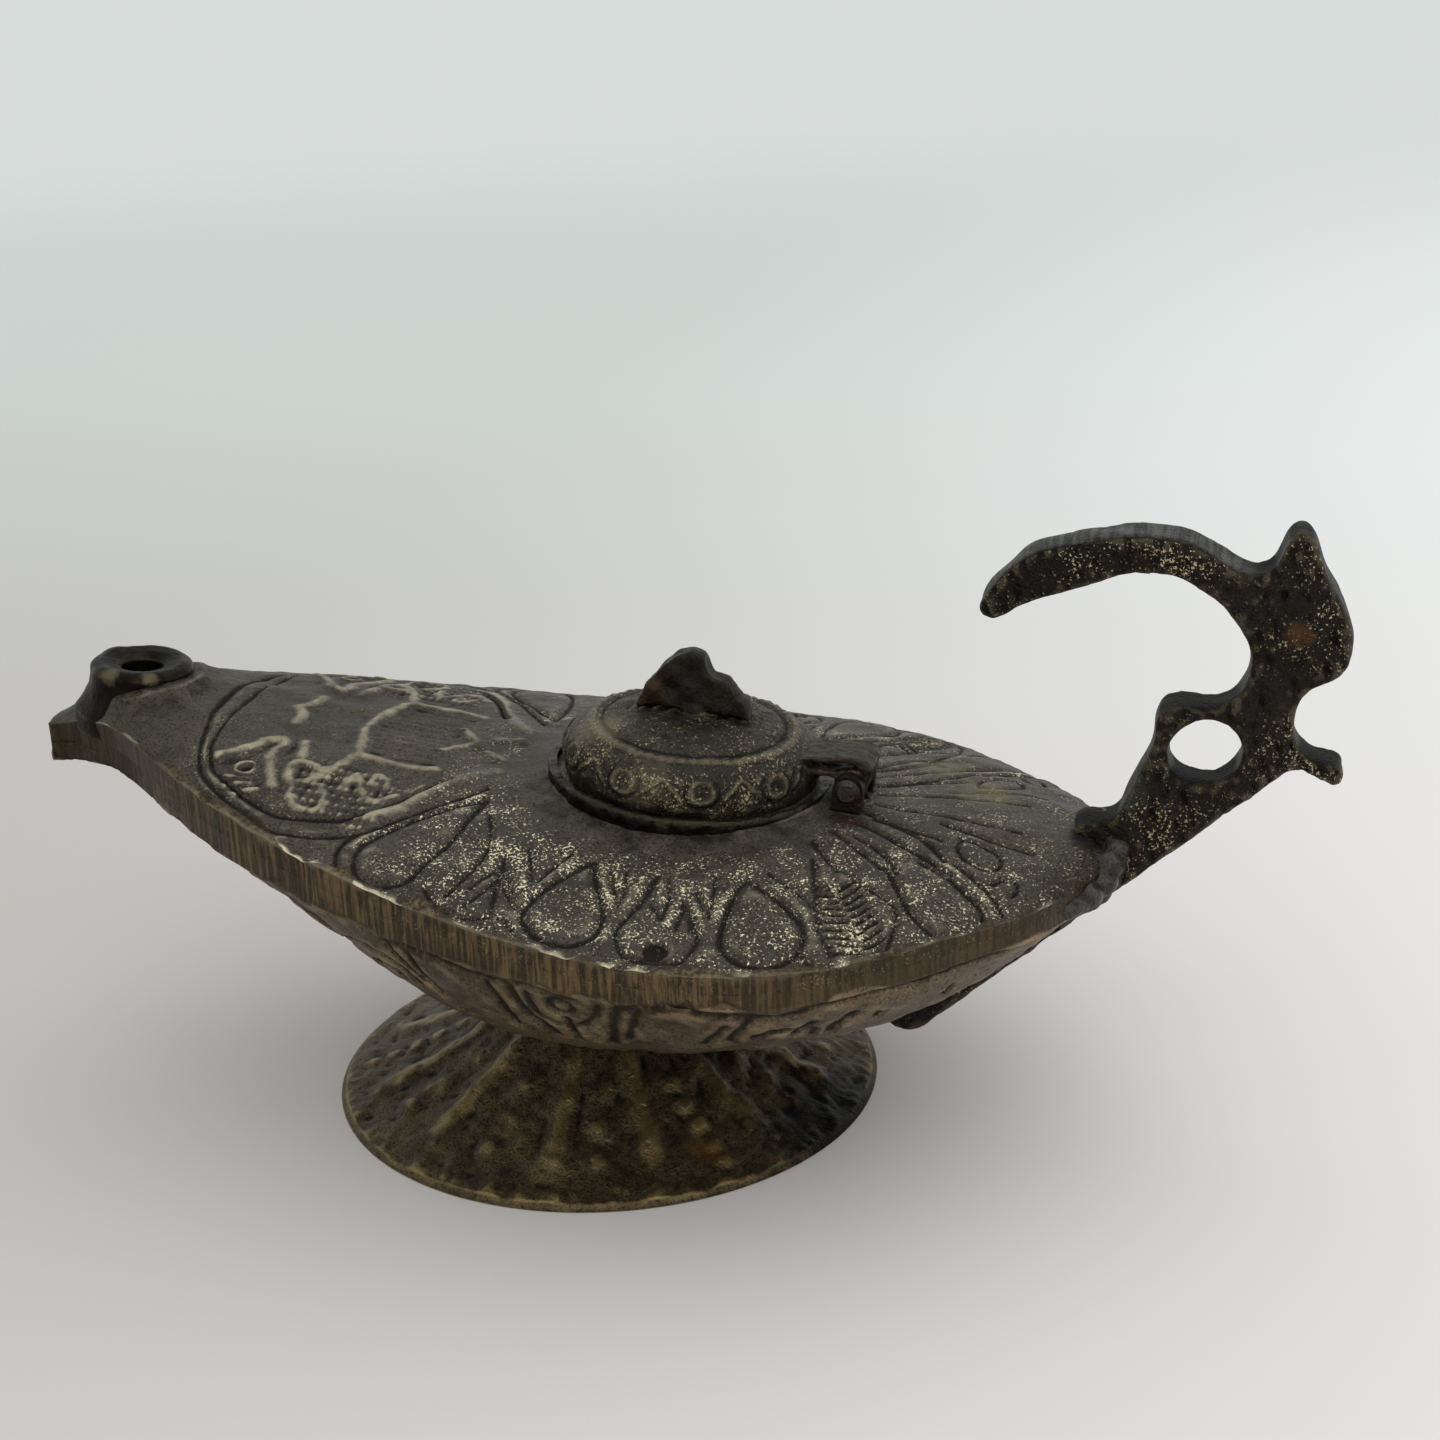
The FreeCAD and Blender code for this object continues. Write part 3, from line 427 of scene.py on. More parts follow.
# How many times coarser a casting's inner skin is than its outer one.
COARSER = 4


def casting(name, skin_at, columns, rows, lining_at, mouth=None, well=None):
    """A closed casting: an outer skin, an inner one, a cap at each end and a joint along the
    seam. A mouth, centre and radius, opens both skins; a well, with its floor, only the outer."""
    piece, order = grid_object(name, columns, rows)
    across, along = np.meshgrid(np.linspace(0, 1, rows + 1), np.linspace(0, 1, columns + 1))
    points, fields = skin_at(along, across)
    set_points(piece, in_order(order, points))
    paint(piece, **{field: in_order(order, values) for field, values in fields.items()})
    form = bmesh.new()
    form.from_mesh(piece.data)
    form.verts.ensure_lookup_table()
    skin = [[form.verts[i] for i in column] for column in order]
    few, fewer = columns // COARSER, rows // COARSER
    across, along = np.meshgrid(np.linspace(0, 1, fewer + 1), np.linspace(0, 1, few + 1))
    lining = [[form.verts.new(Vector(point) * MM) for point in column]
              for column in lining_at(along, across)]
    for i in range(few):
        for j in range(fewer):
            form.faces.new((lining[i][j], lining[i][j + 1], lining[i + 1][j + 1],
                            lining[i + 1][j]))
    if well:
        centre, radius, floor = well
        edge = open_hole(form, [c for column in skin for c in column], centre, radius)
        key = round_key(centre)
        ring = [form.verts.new((c.co.x, c.co.y, floor * MM)) for c in sorted(edge, key=key)]
        stitch(form, edge, ring, key, 2 * math.pi)
        form.faces.new(ring)
    if mouth:
        centre, radius = mouth
        edges = [open_hole(form, [c for column in sheet for c in column if c.is_valid],
                           centre, radius) for sheet in (skin, lining)]
        stitch(form, *edges, round_key(centre), 2 * math.pi)
    for sheet in (skin, lining):
        form.faces.new(sheet[0])
        form.faces.new(sheet[-1][::-1])
    for side in (0, -1):
        stitch(form, [column[side] for column in skin], [column[side] for column in lining],
               lambda corner: corner.co.x)
        form.faces.new((skin[side][0], skin[side][-1], lining[side][-1], lining[side][0]))
    loose = [c for c in form.verts if not c.link_faces]
    bmesh.ops.delete(form, geom=loose, context="VERTS")
    bmesh.ops.recalc_face_normals(form, faces=form.faces)
    form.to_mesh(piece.data)
    form.free()
    return piece


# The vessel ------------------------------------------------------------------------------------

def offsets_at(x, inset=0.0):
    """Half breadth, rim, keel, band's lower edge, deck's rise and keel's flat, inset alike."""
    knots = OFFSETS[:, 0]
    half, rim, keel, band, crown, flat = (smooth_through(knots, OFFSETS[:, i], x)
                                          for i in range(1, 7))
    return (half - inset, rim - 0.7 * inset, keel + inset, rim - band + 0.3 * inset,
            crown - 0.3 * inset, flat)


def seam_height(x):
    return smooth_through(OFFSETS[:, 0], OFFSETS[:, 2] - OFFSETS[:, 4] / 2, x)


def deck_rise(y, half, crown):
    curve = (half ** 2 + crown ** 2) / (2 * crown)
    return np.sqrt(np.maximum(curve ** 2 - y ** 2, 0)) - curve + crown


DECK_COLUMNS, DECK_ROWS, SKIRT_ROWS = 392, 216, 8
LINING_ROWS, LINING_SKIRT_ROWS = DECK_ROWS // COARSER, SKIRT_ROWS // COARSER
# Masks that keep a place's plan, or only its distance along the vessel.
LEVEL, LENGTHWISE = (1, 1, 0), (1, 0, 0)


def across_deck(x, across, inset, skirt):
    """A line across the deck, from the seam on the near side over to the seam on the far one."""
    half, rim, _, _, crown, _ = offsets_at(x, inset)
    low = seam_height(x)
    row = across / skirt
    y = np.where(row < 1, -half, np.where(across > 1 - skirt, half,
                 half * (2 * (across - skirt) / (1 - 2 * skirt) - 1)))
    climb = np.clip(np.minimum(row, (1 - across) / skirt), 0, 1)
    z = np.where(climb < 1, low + (rim - low) * climb, rim + deck_rise(y, half, crown))
    return np.stack([x, y, z], axis=-1)


def plan_away(x, y, centre):
    return np.hypot(x - centre[0], y - centre[1])


def within(flat, line):
    """Which flat points lie inside a closed line."""
    x, y = flat.T
    inside = np.zeros(len(flat), bool)
    for start, end in zip(line, np.roll(line, -1, axis=0)):
        rise = end[1] - start[1]
        if abs(rise) > TINY:
            cross = start[0] + (y - start[1]) * (end[0] - start[0]) / rise
            inside ^= ((start[1] > y) != (end[1] > y)) & (x < cross)
    return inside


def leaf_ribs():
    """The short ribs of the herringbone leaf, on both sides of its midrib."""
    ribs = []
    for share in np.linspace(0.0, 1.0, LEAF_RIBS):
        stem = np.array((31.6 + 4.8 * share, -20.8 - 9.2 * share))
        tip = (29.8 + 3.4 * share, -20.8 - 10.2 * share)
        ribs += [(0.5, (stem - (0.3, 0.0), tip)), (0.5, (stem + (0.5, -0.2), stem + (1.9, 2.0)))]
    return ribs


def scale_bumps(flat):
    """Rows of small scales that fill the near corner of the neck medallion."""
    x, y = flat.T
    bumps = np.sin((x + 0.6 * y) * 3.3) * np.sin((x - 0.6 * y) * 3.3)
    zone = ease(y, -10.0, -12.0) * ease(y + 0.32 * np.abs(x + 27.0), -21.0, -19.6) \
        * ease(x, -31.5, -29.0) * ease(x, -17.0, -19.0)
    return bumps * zone


def chase_deck(x, y):
    """How far the chasing moves the deck up, and the fields its material reads."""
    flat = np.stack([x.ravel(), -np.abs(y.ravel())], axis=-1)
    away = plan_away(*flat.T, COLLAR_TOP)
    drawn = ease(away, 18.0, 20.5)
    grooves = np.maximum(cut(flat, PETALS + STERN_LINES), 0.85 * cut(flat, SPRAYS))
    grooves = np.maximum(grooves, cut(flat, leaf_ribs())) * drawn
    grooves = np.maximum(grooves, cut(flat, NECK_BORDERS))
    grooves = np.maximum(grooves, 0.4 * cut(flat, NECK_HATCH))
    straps = cut(flat, NECK_STRAPS)
    scales = scale_bumps(flat) * (1 - straps)
    gilt = cut(flat, GILT) * drawn
    raised = 0.95 * straps + 0.55 * scales + 0.2 * gilt
    gap = plan_away(*flat.T, NECK_EYE)
    raised = raised * ease(gap, 1.5, 2.0) + 0.8 * crest(gap - 1.1, 0.4)
    grooves = np.maximum(grooves, crest(gap, 0.5))
    gap = plan_away(*flat.T, PETAL_PIT) - PETAL_PIT[2]
    grooves = np.maximum(grooves, 1.3 * ease(gap, 0.2, -0.4))
    for _, petal in PETALS[:CLOSED_PETALS]:
        line = rounded(petal)
        inside = within(flat, line) * ease(distance_to_line(flat, line), 0.3, 1.4)
        raised = np.maximum(raised, 0.45 * inside)
    left = 1 - np.minimum(grooves, 1)
    # Painted shade: the deck's near side beside the lid is darkened, as if in the lid's shadow.
    shade = 0.5 * ease(away, 23.0, 17.0) * ease(flat[:, 1], 2.0, -10.0)
    marks = (0.7 * straps + 0.8 * scales + 0.25 * gilt) * left - grooves - shade
    return [field.reshape(x.shape) for field in (raised * left - grooves, marks, drawn, away,
                                                 gilt)]


def worn_band(x):
    """How bright the filed band is along the vessel: most beside the lid, least at its ends."""
    return (0.3 + 0.7 * ease(x, -54.0, -26.0)) * (0.3 + 0.7 * ease(x, 40.0, 16.0))


def deck_skin(along, across):
    x = TIP_X + (STERN_X - TIP_X) * along
    skirt = SKIRT_ROWS / DECK_ROWS
    points = across_deck(x, across, 0.0, skirt)
    y = points[..., 1]
    relief, marks, drawn, away, gilt = chase_deck(x, y)
    edge = offsets_at(x)[0] - np.abs(y)
    on_top = ease(edge, 0.5, 1.6)
    from_nozzle = plan_away(x, y, NOZZLE_TOP)
    rough = roughness(points, (0.1, 7.0, 3), (0.035, 2.2, 5))
    fillet = swell(away - COLLAR_RADIUS, 0.9, 1.6)
    flare = swell(from_nozzle - NOZZLE_RADIUS, 1.3, 2.2) * ease(edge, 0.4, 3.0)
    chips = np.maximum(lumps(points * LEVEL, 3.2, 9), 0) ** 2 * 0.12 * (1 - on_top)
    top = ((across > skirt - TINY) & (across < 1 - skirt + TINY)) * 1.0
    points[..., 2] += top * (0.42 * relief * on_top + rough + fillet + flare - chips)
    points[..., 1] -= np.sign(y) * (1 - top) * (0.08 + 0.05 * lumps(points, 2.6, 11))
    lower = ease(edge + 0.9 * lumps(points * LEVEL, 5.0, 21), 0.9, 0.3)
    grain = drawn * ease(x, -44.0, -41.0) * (0.55 + 0.45 * ease(-y, 2.0, 16.0))
    medallion = ease(x, -43.0, -40.0) * ease(x, -12.0, -18.0)
    rub = 0.16 + 0.24 * medallion + 0.4 * ease(edge, 0.9, 0.2) * worn_band(x)
    marks = marks - 0.5 * ease(from_nozzle, 15.0, 8.0)
    bow_dark = 0.9 * ease(x, -48.0, -60.0) * (1 - top)
    points[..., 1] = np.clip(points[..., 1], -HALF_BREADTH, HALF_BREADTH)
    return points, {"filed": np.where(top > 0, lower, 1.0) * worn_band(x), "rub": rub,
                    "grain": grain * (1 - 0.7 * medallion) + 0.8 * gilt,
                    "relief": marks * on_top * top - bow_dark}


def deck_lining(along, across):
    x = DECK_CAVITY_FORE + (CAVITY_AFT - DECK_CAVITY_FORE) * along
    return across_deck(x, across, WALL, LINING_SKIRT_ROWS / LINING_ROWS)


BOWL_COLUMNS, BOWL_ROWS = 348, 196
BAND_SHARE, BILGE_SHARE = 0.05, 0.41


def across_bowl(x, across, inset):
    """A line across the bowl, from the seam on the near side round under the keel and up, how
    far each point of it lies below the filed band, and which way is out of the skin there."""
    half, _, keel, band, _, flat = offsets_at(x, inset)
    depth = np.maximum(band - keel, 0.05)
    wide = np.maximum(half - flat, 0.05)
    curve = (wide ** 2 + depth ** 2) / (2 * depth)
    bilge_end = np.arctan2(wide, curve - depth)
    side = np.minimum(across, 1 - across)
    on_band = side < BAND_SHARE
    low = seam_height(x)
    on_bilge = np.clip((side - BAND_SHARE) / BILGE_SHARE, 0, 1)
    angle = bilge_end * (1 - on_bilge)
    on_flat = np.clip((side - BAND_SHARE - BILGE_SHARE) / (0.5 - BAND_SHARE - BILGE_SHARE), 0, 1)
    y = np.where(on_band, half, flat + curve * np.sin(angle)) - flat * on_flat
    z = np.where(on_band, low + (band - low) * side / BAND_SHARE,
                 keel + curve * (1 - np.cos(angle)))
    below = np.where(on_band, -(1 - side / BAND_SHARE) * (low - band),
                     curve * bilge_end * on_bilge)
    sign = np.where(across < 0.5, -1.0, 1.0)
    outward = np.stack([0 * x, sign * np.where(on_band, 1, np.sin(angle)),
                        np.where(on_band, 0, -np.cos(angle))], axis=-1)
    return np.stack([x, sign * y, z], axis=-1), below, outward


def bowl_skin(along, across):
    x = TIP_X + (STERN_X - TIP_X) * along
    points, below, outward = across_bowl(x, across, 0.0)
    flat = np.stack([x.ravel(), below.ravel()], axis=-1)
    grooves = cut(flat, BOWL_LINES).reshape(x.shape)
    grooves = np.maximum(grooves, crest(plan_away(x, below, BOWL_EYE) - BOWL_EYE[2], 0.45))
    ragged = roughness(points * LENGTHWISE, (0.8, 9.0, 31), (0.3, 2.0, 33))
    filed = 1 - ease(below + ragged, -0.5, 0.2)
    step = cut(flat, BAND_STEP).reshape(x.shape)
    relief = -np.maximum(grooves * ease(below, 0.3, 1.4), 0.9 * step)
    rough = roughness(points, (0.14, 6.0, 13), (0.06, 2.0, 15))
    push = 0.6 * relief + rough * (1 - filed) - 0.1 * filed
    points = points + outward * push[..., None]
    points[..., 1] = np.clip(points[..., 1], -HALF_BREADTH, HALF_BREADTH)
    return points, {
        "relief": relief - 1.1 * ease(x, -42.0, -58.0),
        "filed": np.maximum(filed, 0.16 * ease(below, 10.0, 2.0)) * worn_band(x),
        "grain": 0.5 * (1 - filed)}


def bowl_lining(along, across):
    x = BOWL_CAVITY_FORE + (CAVITY_AFT - BOWL_CAVITY_FORE) * along
    return across_bowl(x, across, WALL)[0]


# Other meshes ----------------------------------------------------------------------------------

def modify(piece, kind, **settings):
    """Gives the piece one modifier and applies it."""
    only(piece)
    modifier = piece.modifiers.new(kind, kind)
    for name, value in settings.items():
        setattr(modifier, name, value)
    bpy.ops.object.modifier_apply(modifier=modifier.name)


def neighbour_mean(piece, values, passes):
    """Values for each point, averaged with their neighbours' again and again."""
    ends = np.zeros(len(piece.data.edges) * 2, np.int32)
    piece.data.edges.foreach_get("vertices", ends)
    first, second = ends.reshape(-1, 2).T
    count = len(values)
    share = np.maximum(np.bincount(ends, minlength=count), 1)[:, None]
    for _ in range(passes):
        values = np.stack([np.bincount(first, values[second, i], count)
                           + np.bincount(second, values[first, i], count)
                           for i in range(values.shape[1])], axis=-1) / share
    return values


EDGE_PASSES, FULL_EDGE = 14, 0.24


def mark_edges(piece, seamed):
    """Paints how far each point stands out of the surface round it, or lies sunk in it. The
    seam between deck and bowl isn't an edge."""
    points = get_points(piece)
    sunk = neighbour_mean(piece, points, EDGE_PASSES)
    out = ((points - sunk) * get_normals(piece)).sum(axis=1)
    if seamed:
        out *= ease(np.abs(points[:, 2] - seam_height(points[:, 0])), 0.5, 1.2)
    paint(piece, edge=np.clip(out / FULL_EDGE, -1, 1))


def push_out(piece, push):
    set_points(piece, get_points(piece) + get_normals(piece) * push[:, None])


def roughen(piece, *grades, rise=0.0):
    """Moves the skin by lumps of several grades, and all of it by the rise."""
    push_out(piece, roughness(get_points(piece), *grades) + rise)
    return piece


def bow(start, end, radius, count):
    """The arc from start to just before end; a positive radius bulges to the right of the way."""
    start, end = np.array(start, float), np.array(end, float)
    chord = end - start
    length = math.hypot(*chord)
    left = np.array((-chord[1], chord[0])) / length
    rise = math.sqrt(radius ** 2 - (length / 2) ** 2)
    centre = (start + end) / 2 + left * math.copysign(rise, radius)
    first, last = (math.atan2(*(point - centre)[::-1]) for point in (start, end))
    turn = (last - first + math.pi) % (2 * math.pi) - math.pi
    angles = first + turn * np.linspace(0, 1, count, endpoint=False)
    return [tuple(centre + abs(radius) * np.array((math.cos(a), math.sin(a)))) for a in angles]


def round_places(azimuth, radius, height):
    return np.stack([radius * np.cos(azimuth), radius * np.sin(azimuth), height], axis=-1)


def turned(name, outline, around, spacing, push=None, origin=None):
    """A closed outline, its radius and height, turned about the vertical. The push moves each
    point along the outline's normal, by its azimuth, radius and height, and gives its relief."""
    outline = np.array(outline, float)
    spans = np.roll(outline, -1, axis=0) - outline
    fine = []
    for corner, span in zip(outline, spans):
        steps = max(1, round(math.hypot(*span) / spacing))
        fine += [corner + span * k / steps for k in range(steps)]
    fine = np.array(fine)
    way = np.roll(fine, -1, axis=0) - np.roll(fine, 1, axis=0)
    out = np.stack([way[:, 1], -way[:, 0]], axis=-1)
    out /= np.maximum(np.hypot(out[:, 0], out[:, 1]), TINY)[:, None]
    piece, order = grid_object(name, around, len(fine))
    azimuth = np.linspace(-math.pi, math.pi, around + 1)[:, None] + np.zeros(len(fine) + 1)
    azimuth[-1] = azimuth[0]
    radius, height, out_r, out_z = (np.append(column, column[0])[None, :] + 0 * azimuth
                                    for column in (*fine.T, *out.T))
    if push is not None:
        move, relief = push(azimuth, radius, height)
        radius, height = radius + out_r * move, height + out_z * move
        paint(piece, relief=in_order(order, relief))
    set_points(piece, in_order(order, round_places(azimuth, radius, height)))
    return settle(piece, origin)


def settle(piece, origin=None):
    """Closes a mesh's seams, turns its faces outwards and puts it in its leaning place."""
    form = bmesh.new()
    form.from_mesh(piece.data)
    bmesh.ops.remove_doubles(form, verts=form.verts, dist=1e-6)
    bmesh.ops.recalc_face_normals(form, faces=form.faces)
    form.to_mesh(piece.data)
    form.free()
    if origin is not None:
        piece.data.transform(lean_frame(origin))
    return piece


def plate(name, outlines, half_width, round_off, voxel):
    """Outlines in the lid's middle plane, given their width and fused, with filed edges."""
    form = bmesh.new()
    faces = [form.faces.new([form.verts.new((x * MM, -half_width * MM, z * MM))
                             for x, z in outline]) for outline in outlines]
    moved = bmesh.ops.extrude_face_region(form, geom=faces)["geom"]
    bmesh.ops.translate(form, vec=(0, 2 * half_width * MM, 0),
                        verts=[v for v in moved if isinstance(v, bmesh.types.BMVert)])
    bmesh.ops.recalc_face_normals(form, faces=form.faces)
    mesh = bpy.data.meshes.new(name)
    form.to_mesh(mesh)
    form.free()
    piece = bpy.data.objects.new(name, mesh)
    bpy.context.collection.objects.link(piece)
    modify(piece, "BEVEL", width=round_off * MM, segments=2, limit_method="ANGLE")
    return remesh(settle(piece, COLLAR_TOP), voxel, 3)


def remesh(piece, voxel, passes):
    """Gives the piece one even skin, smoothed."""
    modify(piece, "REMESH", mode="VOXEL", voxel_size=voxel * MM)
    set_points(piece, neighbour_mean(piece, get_points(piece), passes))
    return piece


def from_cad(name, node, voxel, passes):
    """A worked copy of a CAD piece: one even skin over its form, its corners eased."""
    piece = bpy.data.objects.new(name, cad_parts[node].data.copy())
    bpy.context.collection.objects.link(piece)
    return remesh(settle(piece), voxel, passes)


# Foot, lid and fittings ------------------------------------------------------------------------

def angle_gap(azimuth, degrees):
    gap = azimuth - np.radians(degrees)
    return (gap + math.pi) % (2 * math.pi) - math.pi


# Cast ribs of the foot, in degrees round it, and the panels between them that hold a column of
# beads; the others hold three lumps between two grooves.
FOOT_RIBS = (-152.0, -122.0, -88.0, -63.0, -34.0, -4.0, 27.0, 57.0, 88.0, 118.0, 148.0, 178.0)
BEADED_PANELS = (3, 7, 11)
FOOT_RADIUS, FOOT_NECK, FOOT_TOP = 31.3, 10.0, 11.4
FOOT_SLOPE = 1.12 * (FOOT_RADIUS - FOOT_NECK)
# How far up the slope each bead and each lump sits, and the lumps' sizes.
BEADS = (0.65, 0.52, 0.39, 0.26, 0.14)
LUMPS = ((0.66, 1.5), (0.45, 1.7), (0.27, 1.3))
EDGE_BEADS = 96


def foot_push(azimuth, radius, height):
    t = (FOOT_RADIUS - radius) / (FOOT_RADIUS - FOOT_NECK)
    relief = np.zeros_like(azimuth)
    for number, rib in enumerate(FOOT_RIBS):
        off = angle_gap(azimuth, rib) * radius
        relief = np.maximum(relief, crest(off, 0.8 + 1.3 * (1 - t), 2.6) * ease(t, 0.1, 0.26)
                            * ease(t, 1.0, 0.8))
        panel = (FOOT_RIBS[(number + 1) % len(FOOT_RIBS)] - rib) % 360
        middle = rib + panel / 2
        if number in BEADED_PANELS:
            off = angle_gap(azimuth, middle - 4 * (t - 0.4)) * radius
            relief = relief - 0.8 * crest(off, 2.2, 4) * ease(t, 0.06, 0.14) * ease(t, 0.85, 0.75)
            for bead in BEADS:
                gap = np.hypot(off, (t - bead) * FOOT_SLOPE)
                relief = np.maximum(relief, 0.9 * crest(gap, 1.15, 4))
        else:
            for share, size in LUMPS:
                off = angle_gap(azimuth, middle + 5 * (share - 0.45)) * radius
                gap = np.hypot(off, (t - share) * FOOT_SLOPE)
                relief = np.maximum(relief, 0.75 * crest(gap, size, 3))
            for side in (-0.27, 0.27):
                off = angle_gap(azimuth, middle + side * panel) * radius
                relief = relief - 0.5 * crest(off, 0.6) * ease(t, 0.12, 0.2) * ease(t, 0.9, 0.75)
    beads = np.abs(np.sin(azimuth * EDGE_BEADS / 2)) * ease(t, 0.0, 0.03) * ease(t, 0.1, 0.075)
    relief = np.maximum(relief, 0.22 * beads)
    rough = roughness(round_places(azimuth, radius, height), (0.14, 4.4, 41), (0.06, 1.5, 43))
    outside = ease(height, 0.7, 1.1) * ease(t, -0.02, 0.0)
    return (0.5 * relief + rough) * outside - 0.14, (relief - 0.2) * outside


def make_foot():
    outline = [(2.8, 8.8), (9.0, 8.8), *bow((9.0, 8.8), (29.0, 0.0), 51.0, 24)[1:], (29.0, 0.0),
               (32.0, 0.0), *bow((FOOT_RADIUS, 0.9), (FOOT_NECK, FOOT_TOP), -51.0, 80),
               (FOOT_NECK, FOOT_TOP), (2.8, FOOT_TOP)]
    piece = turned("flared_foot", outline, 440, 0.3, foot_push)
    points = get_points(piece)
    points[:, 2] = np.clip(points[:, 2], 0.0, FOOT_TOP)
    set_points(piece, points)
    return piece


# Circles round the lid's side, in degrees, with a zigzag line halfway to the next.
LID_CIRCLES, HALFWAY = tuple(range(-180, 180, 36)), 18
# How far out the lid's side is, and the height of the middle of its pattern.
LID_SIDE, PATTERN_HEIGHT = 14.0, 2.5


def lid_push(azimuth, radius, height):
    outside = ease(height, -1.0, -0.4) * ease(radius, 1.8, 3.0)
    outer = outside * ((height > 4.8) | (radius > 12.9 + 0.2 * height))
    side = 0.0
    up = height - PATTERN_HEIGHT
    for circle in LID_CIRCLES:
        gap = np.hypot(angle_gap(azimuth, circle) * LID_SIDE, up * 1.1)
        side = side + 0.8 * crest(gap - 1.25, 0.32) - 0.9 * crest(gap - 1.85, 0.26) \
            - 0.7 * crest(gap, 0.45)
        middle = np.abs(angle_gap(azimuth, circle + HALFWAY) * LID_SIDE)
        zigzag = np.abs(up - 1.3 * (1 - middle / 1.4))
        side = side + (0.7 * crest(zigzag, 0.3) - 0.6 * crest(zigzag - 0.75, 0.26)) \
            * (middle < 2.2)
    side = side * ease(height, 0.4, 0.9) * ease(height, 4.6, 4.2) * (radius > 12.4)
    bead = crest(radius - 11.5, 0.55) * (height > 4.4) * (1 + 0.25 * np.sin(azimuth * 60))
    ditch = (crest(radius - 10.4, 0.35) + 0.5 * crest(radius - 7.6, 0.3)) * (height > 4.6)
    places = round_places(azimuth, radius, height)
    rough = roughness(places, (0.07, 3.0, 51), (0.04, 1.2, 53))
    beside_fin = ease(np.abs(places[..., 1]), 3.6, 1.8) * ease(np.abs(places[..., 0]), 8.0, 5.6) \
        * (height > 4.8)
    rubble = beside_fin * (0.5 + 0.7 * lumps(places, 1.9, 55))
    relief = outer * (side + bead - ditch) * (1 - beside_fin)
    return 0.24 * relief + outer * rough + 0.3 * rubble, relief - 0.75 * beside_fin


def make_lid():
    outline = [(12.0, -1.3), (13.4, -1.3), (14.1, -0.6), (14.5, 0.5), (14.6, 1.6), (14.35, 2.6),
               (13.8, 3.55), (13.0, 4.25), (12.2, 4.7), (11.6, 4.9),
               *bow((11.6, 4.9), (1.9, 6.7), 40.0, 30)[1:], (1.9, 6.7), (1.9, 5.1), (10.8, 3.3),
               (11.8, 2.2), (13.0, 1.6)]
    return turned("lid_dome", outline, 330, 0.28, lid_push, COLLAR_TOP)


def arc_points(centre, radius, first, last, count):
    return [(centre[0] + radius * math.cos(math.radians(a)),
             centre[1] + radius * math.sin(math.radians(a)))
            for a in np.linspace(first, last, count)]


def make_strap():
    pin = (PIN_REACH, PIN_HEIGHT)
    knuckle = [(12.6, 2.2), (16.83, 2.2), *arc_points(pin, 1.85, 163, 460, 22)[1:], (16.9, 3.05),
               (12.6, 2.95)]
    hook = [(12.6, 4.1), (12.6, 3.4), (15.0, 3.75), (17.3, 4.1), (18.9, 4.0), (19.8, 3.3),
            (20.0, 1.7), (20.45, 1.65), *arc_points(pin, 3.3, 46, 110, 8), (15.2, 4.44)]
    return roughen(plate("lid_strap", (knuckle, hook), 3.1, 0.2, 0.14),
                   (0.07, 2.4, 61), (0.03, 0.9, 63))


def make_collar():
    outline = [(LEDGE_RADIUS, -4.4), (COLLAR_RADIUS, -4.4), (COLLAR_RADIUS, -0.3),
               (COLLAR_RADIUS - 0.3, 0.0), (COLLAR_BORE, 0.0), (COLLAR_BORE, -1.5),
               (LEDGE_RADIUS, -1.5)]

    def push(azimuth, radius, height):
        rough = roughness(round_places(azimuth, radius, height), (0.07, 3.2, 71), (0.04, 1.2, 73))
        return ease(radius, 14.6, 15.0) * (rough - 0.05), 0 * radius

    return turned("filler_collar", outline, 320, 0.3, push, COLLAR_TOP)


def make_nozzle():
    outline = [(0.0, -8.0), (7.8, -8.0), (7.8, -5.8), (7.0, -4.6), (6.3, -3.2), (6.05, -1.9),
               (6.0, -0.9), *bow((6.0, -0.9), (4.6, 0.0), 1.5, 8)[1:], (4.6, 0.0), (3.6, -0.3),
               (2.9, -0.62), (2.4, -1.05), (2.35, -7.5), (0.0, -7.5)]

    def push(azimuth, radius, height):
        rough = roughness(round_places(azimuth, radius, height), (0.1, 5.0, 81), (0.02, 1.6, 83))
        rough = rough * ease(radius, 2.8, 3.4) * ease(height, -7.6, -6.0)
        return rough - 0.05 * (radius > 2.9), 0 * radius

    return turned("wick_nozzle", outline, 240, 0.25, push, NOZZLE_TOP)


def make_pad():
    outline = [(15.6, -2.9), (20.9, -2.9), (20.9, -0.7), (15.6, -0.7)]
    return roughen(plate("hinge_pad", (outline,), 5.3, 0.3, 0.2), (0.08, 2.2, 91))


# The braze that holds the handle to the stern: the middle and radius of each blob of the near
# side; the far side has the same, mirrored.
BRAZE = ((57.8, -1.0, 35.0, 1.7), (59.2, -2.9, 33.8, 1.4), (58.6, -4.2, 32.3, 1.6),
         (57.8, -6.0, 31.0, 1.7), (56.7, -8.4, 30.4, 1.7), (55.5, -10.6, 30.4, 1.5),
         (54.6, -12.0, 30.3, 1.2), (58.5, -1.8, 31.8, 2.1), (57.9, -1.8, 30.0, 2.0),
         (56.9, -1.8, 28.4, 1.9), (55.6, -1.6, 27.0, 1.8), (54.0, -1.3, 25.8, 1.7))


